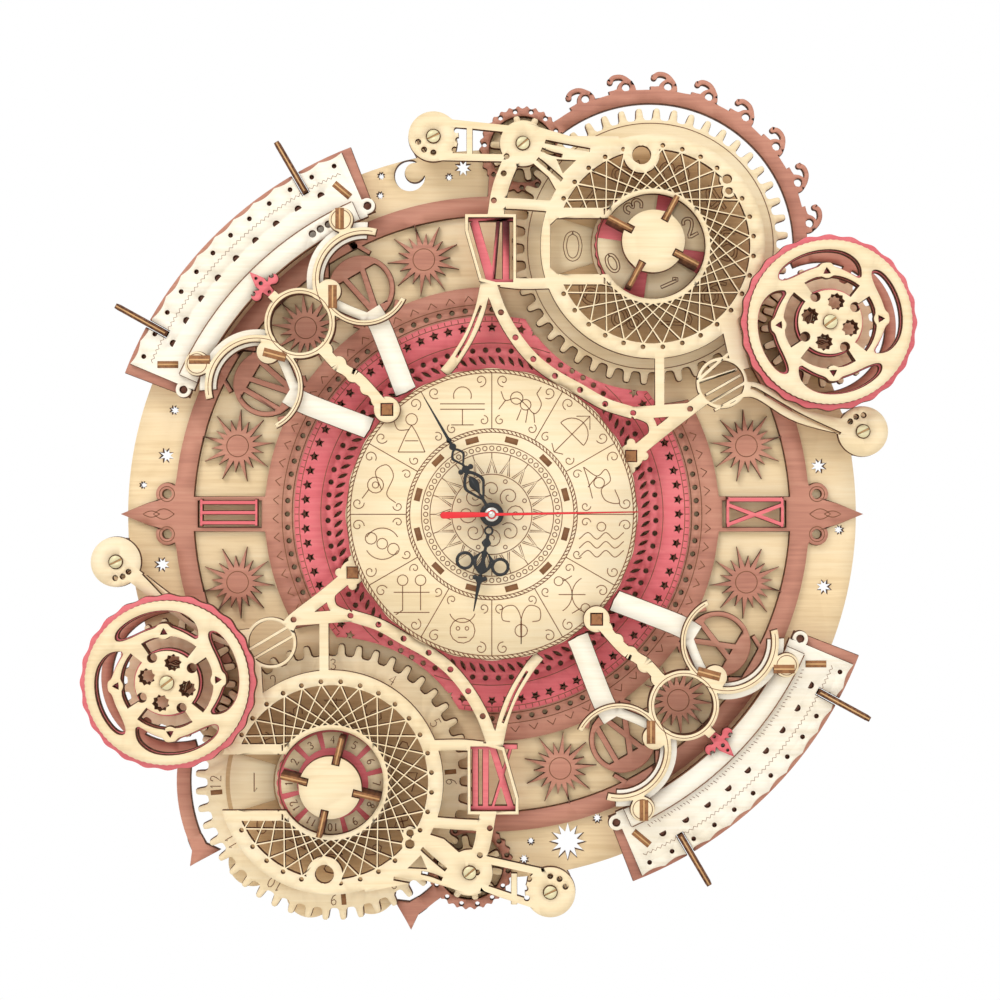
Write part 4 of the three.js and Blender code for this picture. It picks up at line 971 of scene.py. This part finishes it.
for name, side in SIDES.items():
    centre, body = turned(side["pinion_at"], side["turn"]), f"handwheel_{name}"
    turn = side["turn"] + 3.6
    screw_hole = circle(centre, SCREW_HOLE)
    triangles = [star(at(23.5, turn + q, centre), 3, 0.8, 1.6, turn + q) for q in QUARTERS]
    rear = wood(wavy(centre, 41.0, 24, 0.45)) + cut(*wheel_windows(centre, turn, -0.9), screw_hole)
    plate(f"handwheel_rear_{name}", rear, WHEEL_AT, finish="coral", body=body)
    front = wood(wavy(centre, 38.3, 80, 0.12)) + cut(*wheel_windows(centre, turn, 0.0))
    front += wood(*[circle(at(23.3, turn + q, centre), 3.3) for q in QUARTERS])
    front += cut(*triangles, screw_hole)
    plate(f"handwheel_front_{name}", front, WHEEL_AT + PLY, body=body)
    node = f"handwheel_screw_{name}"
    screw_head(node, centre, 3.5, WHEEL_AT + 2 * PLY, side["turn"] + 35, body, [node])

# %% [markdown]
# ## Bridges
#
# Each bridge is one pale sheet: a lattice disc over the big gear, ribs to the small gear's hub,
# the frame of VI or XII, arms past a moon circle to the far lobe, and a lug at the dial. The
# lattice's net is two families of chords that cross, from the middle ring to the rim.

# %% Bridges
LATTICE_RIM, NET_RIM, NET_RING, NET_HOLE = 53.0, 45.6, 27.2, 24.6
NET_STRANDS, NET_SWEEP = 32, 28.125
# Per side: the eyelet's angle, the window's reach, and small holes as (radius, angle, size).
LATTICES = {"upper": (97, 48.2, [(47.1, 42, 2.1), (44.3, 36, 1.6)]),
            "lower": (86, 56.0, [(47.1, 142, 2.1), (44.3, 147.4, 1.6)])}


def lattice(name, centre):
    """Disc with its net of chords, prongs, reading window, eyelet and small holes."""
    eye_turn, reach, pins = LATTICES[name]
    facing = 180 if name == "upper" else 0
    turns = np.arange(NET_STRANDS) * 360 / NET_STRANDS
    net = [bar(at(NET_RING - 0.6, t, centre), at(NET_RIM + 0.6, t + s * NET_SWEEP, centre), 0.9)
           for t in turns for s in (-1, 1)]
    net_holes = [circle(at(NET_RIM + 2.0, t + NET_SWEEP, centre), 0.95, 10) for t in turns]
    eye = at(43.3, eye_turn, centre)
    prongs = np.array([(23, -18.2), (50, -18.2), (50, 18.2), (23, 18.2)])
    window = [(20, -13), (reach - 3, -13), (reach, -10), (reach, 10), (reach - 3, 13), (20, 13)]
    prongs, window = (turned(shape, facing) + centre for shape in (prongs, window))
    rings, pin_holes = ([circle(at(r, t, centre), hole + more) for r, t, hole in pins]
                        for more in (1.8, 0))
    layers = wood(circle(centre, LATTICE_RIM)) + cut(circle(centre, NET_RIM))
    layers += wood(*net, circle(centre, NET_RING)) + cut(*net_holes)
    layers += wood(prongs, circle(eye, 8.6), *rings)
    return layers + cut(circle(centre, NET_HOLE), window, circle(eye, 4.3), *pin_holes)


# The arm that runs along the dial, with a hole at each of its points.
CHAIN = [(4.3, 95), (11.1, 83.2), (19.5, 73), (29.7, 65.1), (41.5, 58.5), (53.3, 51.9), (66.5, 47.7)]
BOX_OUT = [(-12.8, 141.4), (11.6, 141.4), (11.6, 107.6), (1.5, 107.6), (-6, 109.6), (-12.8, 133.5)]
BOX_IN = [(-11.0, 139.6), (9.9, 139.6), (9.9, 109.4), (2.0, 109.4), (-4.6, 111.2), (-11.0, 133.9)]
# Slots as (points, width): one in the leg, three in the wedge beside the small gear.
SLITS = [([(-5.2, 98), (-10.6, 84.4), (-16.6, 73.9)], 0.8),
         ([(25.2, 175.4), (34, 173.6), (46, 171.4)], 1.5),
         ([(23.5, 171.6), (28, 169.8), (33, 168.6)], 1.6),
         ([(21.6, 167.2), (26, 163.6), (33, 157.4)], 1.6)]
WEDGE_HOLE = [(30.6, 166.9), (39.5, 166.5), (33.4, 160.6)]


def small_gear_ribs(side):
    """Rails from the near lobe to the small gear's hub, and the wedge from there to the lattice."""
    (gu, gv), (su, sv), (nu, nv) = GEAR, side["small_at"], NEAR_LOBE
    wedge = [(su, sv + 10.4), (su + 9, sv + 7.4), (su + 22, sv + 3.6), (gu - 16, gv + 50.3),
             (gu - 12, gv + 42), (gu - 44, gv + 22), (su + 12, sv - 16), (su + 3, sv - 8)]
    return [bar((nu + 6, nv + 6.5), (su - 4, sv + 6.5), 3.6),
            bar((nu + 4, nv - 9.5), (su - 4, sv - 7), 3.6),
            bar((nu + 17, nv + 6), (nu + 17, nv - 9), 3.0), np.array(wedge),
            strip([(su - 2, sv), (4.5, 155), (1.5, 139)], 8)]


def far_arms(side):
    """Arms from the lug and the lattice past the moon circle to the far lobe."""
    (gu, gv), (mu, mv) = GEAR, side["moon"]
    return [strip([CHAIN[-1], (74.5, 43.9), (75.4, 36.9), (69.8, 30.3), BRIDGE_LUG], 4.2),
            strip([BRIDGE_LUG, (79.2, 38.7), (93.3, 49.6), (mu - 8, mv - 7)], 6.4),
            strip([(mu + 9, mv - 3), (126.3, 57.5), (145.1, 46.5), side["far"]], 7.4),
            bar((gu + 36, gv - 36), (mu + 9, mv + 6), 8.4), bar((79, gv - 51), (79, 50), 4.6),
            bar(CHAIN[-1], (93.3, 49.6), 6)]


def bridge(name, side):
    """All of one bridge's layers, drawn for the upper side."""
    (gu, gv), small, far, moon = GEAR, side["small_at"], side["far"], side["moon"]
    text, height, slit_end = ("VIII", 19, 38) if name == "upper" else ("II", 22, 28)
    arms = small_gear_ribs(side) + far_arms(side)
    arms += [strip([(0, 146.5), (14, 146), (gu - 46, gv + 17)], 5.4),
             strip([(4, 109.5), (14, 108.5), (gu - 47, gv - 19)], 5.4),
             strip([(-2.8, 109), (-5.6, 96.2), (-10.3, 84.4), (-17.4, 72.7), (-22.4, 66.4)], 5.2),
             strip([(-0.5, 108), *CHAIN], 6)]
    lobes = [circle(NEAR_LOBE, LOBE), circle(small, HUB), circle(far, LOBE), circle(BRIDGE_LUG, 6),
             *[circle(at(6.2, t, BRIDGE_LUG), 2.2) for t in (0, 90, 270)]]
    slits = [strip(points, width) for points, width in SLITS] + [np.array(WEDGE_HOLE)]
    slits.append(strip([(122, 59.6), (126.3, 57.8), (145.1, 46.9), (164, slit_end)], 1.0))
    dots = [*CHAIN, (93.3, 49.6), (6.9, 168.5), (5.6, 160.4), (0.9, 147.7),
            (-16.5, 180.7), (-15.8, 176.1), (-17.5, 171.6),
            *at(7.6, np.array([142, 115, 88]), far), *at(7.6, np.array([200, 235, 270]), NEAR_LOBE)]
    layers = wood(*arms, *lobes, circle(moon, MOON[1]), np.array(BOX_OUT))
    layers += lattice(name, GEAR + [0.2, -1.6])
    layers += cut(circle(moon, MOON[0]), np.array(BOX_IN), box(BRIDGE_LUG, LUG_HOLE, LUG_HOLE),
                  *[circle(pin, PIN_HOLE) for pin in (small, NEAR_LOBE, far)], *slits,
                  *[circle(spot, 1.25, 12) for spot in dots])
    outwards = math.degrees(math.atan2(moon[1], moon[0]))
    return layers + wood(*numeral(text, moon, outwards, height, 1.5))


for name, side in SIDES.items():
    plate(f"bridge_{name}", place(bridge(name, side), side["turn"]), BRIDGE_AT, kerf=0.2)
print("bridges: nets of", 2 * NET_STRANDS, "strands")

# %% [markdown]
# ## Fins and pointers
#
# Each upright fin is four boxes: a foot on the board, a beam, and a blade with a paler middle
# ply that stands proud of the arch. A pointer is a leaf with two balls, over the arch's middle.


# %% Fins and pointers
def fin(node, turn):
    """Fin through an arch panel, as (part, near, far, width, low, high, finish, kerf) boxes."""
    boxes = (("foot", 162, 175, PLY, PLY, BACKING_AT, "burnt", 0.02),
             ("beam", 174, 197, PLY, PLY + 5, BACKING_AT, "burnt", 0.02),
             ("blade", 175.3, 203, PLY, BACKING_AT - 2, BRIDGE_AT + 2, "burnt", 0.3),
             ("core", 176, 202.4, 0.8, BRIDGE_AT + 1, BRIDGE_AT + 2.06, "stripe", 0.05))
    for part, near, far, wide, low, high, finish, kerf in boxes:
        shape = wood(box(at((near + far) / 2, turn), far - near, wide, turn))
        plate(node, shape, low, high, finish, nodes=[node] if part == "foot" else [],
              part=part, kerf=kerf)


POINTER_SIDE = np.array([(6, 1.4), (2, 3.0), (-2, 2.6), (-8, 1.8)])
POINTER_LEAF = np.concatenate([[(9, 0)], POINTER_SIDE, POINTER_SIDE[::-1] * [1, -1]])
POINTER_BAR = np.array([(-2.7, -5.6), (-0.3, -5.6), (-0.3, 5.6), (-2.7, 5.6)])
print("fins and pointers drawn")

# %% [markdown]
# ## Arch panels
#
# A stained backing, a pale scalloped plate with a scale of dots and half-round windows, and a
# narrow cover plate on top. The backing and the plate are slotted for the fins.

# %% Arches
ARCHES = {"left": (135, (120.1, 151.0)), "right": (315, (300.4, 331.5))}
ARCH_HALF, BACKING, COVER, DOT_STEP = 24, (153.5, 186.6), (151.5, 161.5), 3.75
for name, (mid, fin_turns) in ARCHES.items():
    start, end = mid - ARCH_HALF, mid + ARCH_HALF
    slots = [box(at(190, t), 30, PLY + 2 * GAP, t) for t in fin_turns]
    plate(f"arch_backing_{name}", wood(band((0, 0), *BACKING, start, end)) + cut(*slots),
          BACKING_AT, finish="rose")
    plate_turns = np.linspace(start + 1.5, end - 1.5, 181)
    scallop = np.abs(np.sin(np.radians((plate_turns - start - 1.5) * 180 / DOT_STEP)))
    outline = np.concatenate([at(185.3 - 1.2 * scallop, plate_turns), at(152, plate_turns[::-1])])
    dots = [circle(at(180.4, t), 0.95, 12) for t in mid + (np.arange(12) - 5.5) * DOT_STEP]
    windows = [at(1.5, np.linspace(-100, 100, 11) + t, at(170.6, t))
               for t in mid + (np.arange(9) - 4) * 4.2]
    ears, ear_holes = ([circle(at(157, t), r) for t in (start + 1, end - 1)] for r in (4.0, 1.7))
    plate(f"arch_plate_{name}", wood(outline, *ears) + cut(*dots, *windows, *ear_holes, *slots),
          ARCH_AT, finish="pale")
    zig = np.arange(105)
    scale = [at(176.0 + 0.6 * np.where(zig % 2, 1, -1), mid - 21 + zig * 42 / 104)]
    ends = (start + 8.4, start + 10.0, start + 11.6, end - 5.0)
    if name == "right":
        marks = mid + (np.arange(60) - 29.5) * 0.62
        scale += [np.array([at(163.6, t), at(164.6 + 0.8 * (k % 3 == 0), t + 0.2)])
                  for k, t in enumerate(marks)]
        ends = (start + 5.5, end - 5.5)
    engrave(f"arch_plate_{name}", scale, ARCH_AT + PLY, 0.28)
    cover = band((0, 0), *COVER, start + 3, end - 3)
    plate(f"arch_cover_{name}", wood(cover) + cut(*[circle(at(156.6, t), 1.5, 14) for t in ends]),
          BRIDGE_AT, finish="pale")
    rim_turns = np.linspace(start + 3.2, end - 3.2, 90)
    rims = [at(COVER[1] - 0.3, rim_turns), at(COVER[0] + 0.3, rim_turns)]
    engrave(f"arch_cover_{name}", rims, BRIDGE_AT + PLY, 0.5)
    for index, turn in enumerate(fin_turns):
        fin(f"arch_fin_{name}_{index + 1}", turn)
    disc = lambda x, y, r, steps=None: circle(turned((x, y), mid) + at(152, mid), r, steps)
    pointer = wood(turned(POINTER_LEAF, mid) + at(152, mid), disc(-1.5, -5.6, 2.6),
                   disc(-1.5, 5.6, 2.6), turned(POINTER_BAR, mid) + at(152, mid))
    pointer += cut(*[disc(x, 0, r, 10) for x, r in ((4.4, 0.6), (1.2, 0.8), (-4.6, 0.7))],
                   disc(0.2, -6.0, 1.0, 12), disc(0.2, 6.0, 1.0, 12))
    plate(f"pointer_{name}", pointer, DIAL_AT, finish="coral", kerf=0.2)
    spots = [(at(168.5, start + 3.8), 10, 140), (at(168.5, end - 3.8), 10, 0)]
    tenon_ends(f"arch_plate_{name}", spots, 3.4, ARCH_AT + PLY, 0.2, 0.4)
print("arches:", len(dots), "dots and", len(windows), "windows in each")

# %% [markdown]
# ## Planet frames
#
# The pale frames in front of the dial's corners: a planet circle, two arcs with half-moon ends
# and cloud-edged arms, symmetric about the diagonal. An under-frame lies behind each.

# %% Planet frames
ARC_AT, PLANET_AT, PLANET_HOLE, END_DISC = (-59.7, 109.9), (-89.8, 89.4), 13.6, (-70.5, 137.8)
puffs = [circle(p, r) for p, r in (((-77.5, 77.0), 3.4), ((-71.5, 70.5), 3.8), ((-65.0, 64.8), 3.4),
                                  ((-58.8, 58.6), 3.0), ((-53.5, 53.3), 3.2))]
paired = [band(ARC_AT, 20.8, 24.6, 75, 215), band(ARC_AT, 19, 21.8, 210, 335),
          circle(END_DISC, 6.0),
          bar(END_DISC, at(22.6, 112, ARC_AT), 6), circle((-76, 104.4), 5.8)]
planet = wood(circle(PLANET_AT, 16.8), *[o for outline in paired for o in both_ways(outline)],
              circle(PLANET_LUG, 6.4), *puffs,
              strip([(-81, 79.4), (-72, 69.5), (-62, 63.5), PLANET_LUG], 5.4),
              bar(at(141, 135), at(146, 135), 5))
planet += cut(circle(PLANET_AT, PLANET_HOLE), box(PLANET_LUG, LUG_HOLE, LUG_HOLE))
paired = [band(ARC_AT, 19.0, 27.4, 86, 215), strip([(-80, 103), (-70, 97), (-52.4, 90)], 5),
          strip([(-57, 96), (-52.4, 88.3), (-46.5, 73.5), (-40.2, 56.9)], 10.5, 4)]
under = wood(circle(PLANET_AT, 16.8), *[o for outline in paired for o in both_ways(outline)])
under += cut(circle(PLANET_AT, PLANET_HOLE), circle((0, 0), DIAL + 1))
tenons = [((-74.4, 101.8), 11, 90), ((-101.5, 74.6), 11, -15), ((-71.1, 138.3), 10, 90),
          ((-136.6, 72.3), 10, 0)]
lines = [ring_line(PLANET_AT, 15.2, 60), *both_ways(ring_line(END_DISC, 4.6, 24)),
         *both_ways(at(22.7, np.linspace(80, 210, 60), ARC_AT)),
         *both_ways(at(20.4, np.linspace(216, 330, 50), ARC_AT))]
for turn, name in zip(HALF_TURNS, ("left", "right")):
    node, top = f"planet_frame_{name}", PLANETS_AT + PLY
    plate(node, place(planet, turn), PLANETS_AT)
    plate(f"planet_underframe_{name}", place(under, turn), DIAL_AT, finish="pale")
    spots = [(turned(spot, turn), long, tilt) for spot, long, tilt in tenons]
    tenon_ends(node, spots, 4.2, top, 0.1, 0.6)
    engrave(node, [turned(line, turn) for line in lines], top, 0.35)
print("planet frames:", len(planet), "layers each")

# %% [markdown]
# ## Movement
#
# A moulded case with a hanging loop, a cell in its bay and the setting wheel behind, and the
# threaded tube with its nut in front. The cell is turned round its own axis.

# %% Movement
CASE_BACK, CASE_HALF, CASE_CORNER = DIAL_AT - 16, 28.0, 4.0
WHEEL_SPOT, LOOP_SPOT, CELL_BAY = (14, -14), (0, 34), (-18.5, 0)
TUBE, SPINDLE = 3.9, 1.2
TUBE_TOP, SPINDLE_TOP, NUT_TOP = PLANETS_AT + 3, HOUR_AT + 3.7, PLANETS_AT + 2
reach = CASE_HALF - CASE_CORNER
soft_square = np.concatenate([at(CASE_CORNER, a + np.linspace(0, 90, 7), (reach * x, reach * y))
                              for a, x, y in zip(QUARTERS, (1, -1, -1, 1), (1, 1, -1, -1))])
case = wood(soft_square) + cut(box(CELL_BAY, 15, 50), circle(WHEEL_SPOT, 7))
hanger = wood(circle(LOOP_SPOT, 8), box((0, 29), 16, 8)) + cut(circle(LOOP_SPOT, 4.5))
node = "quartz_movement"
plate(node, case + hanger, CASE_BACK, CASE_BACK + 2, "plastic", part="back")
detail(node, "case", case, CASE_BACK + 2, DIAL_AT - 1, "plastic", kerf=KERF)
detail(node, "front", wood(soft_square), DIAL_AT - 1, DIAL_AT, "plastic", kerf=KERF)
recess = wood(circle(WHEEL_SPOT, 6.9))
detail(node, "wheel_recess", recess, CASE_BACK + 3, DIAL_AT - 1, "plastic", kerf=0.02)
detail(node, "tube_0", wood(circle((0, 0), TUBE)), DIAL_AT, TUBE_TOP, "brass", kerf=KERF)
detail(node, "tube_1", wood(circle((0, 0), SPINDLE)), TUBE_TOP, SPINDLE_TOP, "brass", kerf=KERF)
detail(node, "nut", washer((0, 0), 5.4, 6, 0.35, TUBE), PLANETS_AT, NUT_TOP, "brass", kerf=KERF)
node = "setting_wheel"
plate(node, wood(wavy(WHEEL_SPOT, 5.6, 24, 0.4)), CASE_BACK - 1.5, CASE_BACK + 2.7, "grey", node)
arrows = [strip(at(3.6, np.linspace(a, a + 100, 7), WHEEL_SPOT), 0.7, 1) for a in (20, 200)]
detail(node, "arrows", wood(*arrows), CASE_BACK - 1.75, CASE_BACK - 1.4, "steel", node, KERF)


def lathe(name, profile, centre, finish, fine=32):
    """Turned piece along v: a profile of (radius, place) swept round its axis, ends capped."""
    radius, along = np.array(profile, float).T
    turns = np.radians(np.arange(fine) * 360 / fine)[:, None]
    n = len(radius)
    verts = np.stack([centre[0] + radius * np.cos(turns), centre[1] + along * np.ones_like(turns),
                      centre[2] + radius * np.sin(turns)], -1).reshape(-1, 3)
    k, j = np.meshgrid(np.arange(n - 1), np.arange(fine))
    j2 = (j + 1) % fine
    quads = np.stack([j * n + k, j * n + k + 1, j2 * n + k + 1, j2 * n + k], -1).reshape(-1, 4)
    caps = np.stack([np.arange(fine) * n, (np.arange(fine) * n + n - 1)[::-1]])
    return make_mesh(name, verts, [quads, caps], [FINISHES[finish][0]], np.zeros(len(quads) + 2))


CELL, CELL_HALF, SEAM = 7, 25, 12
cell_at = (*CELL_BAY, CASE_BACK + 7.5)
sleeve = [(0.01, -CELL_HALF), (CELL - 0.6, -CELL_HALF), (CELL, 0.6 - CELL_HALF), (CELL, SEAM),
          (CELL - 0.02, SEAM + 0.02)]
crown = [(CELL - 0.02, SEAM), (CELL, SEAM + 0.02), (CELL, 22.8), (6.2, 23.4), (2.8, 23.5),
         (2.7, CELL_HALF), (0.01, CELL_HALF)]
settle(lathe("battery_sleeve", sleeve, cell_at, "film"), "face", ["battery"])
settle(lathe("battery_crown", crown, cell_at, "foil"), "face", [])
print("movement and cell set in the board's window")

# %% [markdown]
# ## Hands
#
# The hour and minute hands are openwork: each blade is drawn as loops, beads and a thin tip
# along its own line, then turned to its rest direction.

# %% Hands
HANDS = {"hour_hand": (HOUR_AT, 259.4), "minute_hand": (HOUR_AT + HAND_STEP, 120),
         "second_hand": (HOUR_AT + 2 * HAND_STEP, 1)}


def beads(*items):
    """Small discs from (x, y, radius)."""
    return [circle((x, y), r, 20) for x, y, r in items]


def taper(start, end, wide, thin):
    """Bar along the hand that goes from one width to another."""
    return strip([(start, 0), (end, 0)], [wide, thin], 1)


def drop(start, end, wide):
    """Closed drop shape along the hand, widest at 0.62 of its length."""
    near, middle = start + 0.3 * (end - start), start + 0.62 * (end - start)
    return curve([(start, 0), (near, wide * 0.3), (middle, wide * 0.5), (end, 0),
                  (middle, -wide * 0.5), (near, -wide * 0.3), (start, 0)], 6)[:-1]


minute = wood(circle((0, 0), 5.6), taper(4, 22, 1.6, 1.2), drop(7, 23.5, 10.5))
minute += cut(drop(9, 21.6, 7.4)) + wood(drop(10.5, 20.6, 4.6), taper(5, 11, 1.4, 1.0))
minute += wood(*beads((24.2, 0, 1.9), (24.2, 2.6, 1.3), (24.2, -2.6, 1.3)), drop(26, 35.5, 6.8))
minute += cut(drop(27.6, 34.2, 4.2)) + wood(taper(25, 27.6, 1.4, 1.2), taper(35, 63, 1.7, 0.5))
minute += wood(*beads((36.4, 0, 1.7), (39.8, 0, 1.3)))
hour = wood(circle((0, 0), 5.4), taper(3, 12, 2.0, 1.6), circle((7.8, 0), 2.3), drop(10.4, 16, 4.4))
hour += cut(circle((7.8, 0), 1.3)) + wood(taper(15, 30, 1.5, 1.3))
hour += wood(*beads((23.4, 8.4, 4.4), (23.4, -8.4, 4.4)))
hour += cut(*beads((23.4, 8.4, 2.9), (23.4, -8.4, 2.9)))
hour += wood(*[bar((17.5, 0), (22, y), 1.5) for y in (5.0, -5.0)], drop(17, 28.5, 9.0))
hour += cut(*[leaf((21.8, s * 1.9), 6.5, 1.9, s * 8) for s in (-1, 1)])
hour += wood(*beads((30.8, 0, 2.0), (30.2, 2.3, 1.2), (30.2, -2.3, 1.2)), taper(30, 46, 2.3, 0.5))
second = wood(circle((0, 0), 2.2), taper(0, 68, 1.5, 0.6), circle((-22.4, 0), 1.6),
              strip([(0, 0), (-8, 0), (-22.4, 0)], [1.6, 2.6, 3.2], 1))
for (node, (low, turn)), layers, finish, kerf in zip(
        HANDS.items(), (hour, minute, second), ("black", "black", "red"), (0.12, 0.12, 0.1)):
    plate(node, place(layers, turn), low, low + HAND_THICK, finish, node, kerf=kerf)
for node, radius, sunk, high, kerf in (("minute_hand", 3.6, 0.9, 1.7, 0.5),
                                       ("second_hand", 1.7, 0.8, 1.5, 0.4)):
    low = HANDS[node][0]
    cap = wood(circle((0, 0), radius))
    detail(node, "hub_cap", cap, low + sunk, low + high, "steel", node, kerf)
print("hands:", ", ".join(HANDS))

# %% [markdown]
# ## Posts that stay as they are
#
# The square dial posts are plain bars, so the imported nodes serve: they only need a finish.

# %% Kept nodes
for node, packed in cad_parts.items():
    if not packed.hide_render:
        packed.data.materials.clear()
        packed.data.materials.append(FINISHES["burnt"][0])
        print("kept:", node)

# %% [markdown]
# ## Floor, light and camera
#
# A pale floor under the clock, a bright even room, and two square lights from the upper left
# and the right. The camera looks straight at the dial from nearly a metre.

# %% Floor, light and camera
floor_mesh = bpy.data.meshes.new("floor")
corners = [(-3, -3, -0.5), (3, -3, -0.5), (3, 0.35, -0.5), (-3, 0.35, -0.5)]
floor_mesh.from_pydata(corners, [], [(0, 1, 2, 3)])
floor = bpy.data.objects.new("floor", floor_mesh)
bpy.context.scene.collection.objects.link(floor)
floor_mesh.materials.append(coated("floor_pale", "#F2F0EC", 0.8))
floor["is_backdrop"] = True


def softbox(name, place, target, size, watts):
    """Square area light that looks at a target."""
    light = bpy.data.lights.new(name, "AREA")
    light.size, light.energy = size, watts
    made = bpy.data.objects.new(name, light)
    made.location = place
    made.rotation_euler = (Vector(target) - Vector(place)).to_track_quat("-Z", "Y").to_euler()
    bpy.context.scene.collection.objects.link(made)


world = bpy.data.worlds.new("studio")
world.use_nodes = True
room = world.node_tree.nodes["Background"]
room.inputs["Color"].default_value = (1, 1, 1, 1)
room.inputs["Strength"].default_value = 1.0
scene = bpy.context.scene
scene.world = world
scene.view_settings.view_transform = "Standard"
softbox("key", (-0.8, -1.3, 1.3), (0, 0, 0), 0.7, 9)
softbox("fill", (1.2, -1.3, 0.2), (0, 0, 0), 1.2, 2)
camera = bpy.data.objects.new("camera", bpy.data.cameras.new("camera"))
camera.data.lens, camera.data.sensor_width = 67.5, 36
camera.location = (0.00384, -0.903, 0.00672)
camera.rotation_euler = (math.radians(90), 0, 0)
scene.collection.objects.link(camera)
scene.camera = camera

# %% [markdown]
# ## Sizes and finish
#
# The visual model's box is printed in millimetres.

# %% Sizes and finish
low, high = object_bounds()
print("visual box in mm:", [round(1000 * (b - a), 1) for a, b in zip(low, high)])
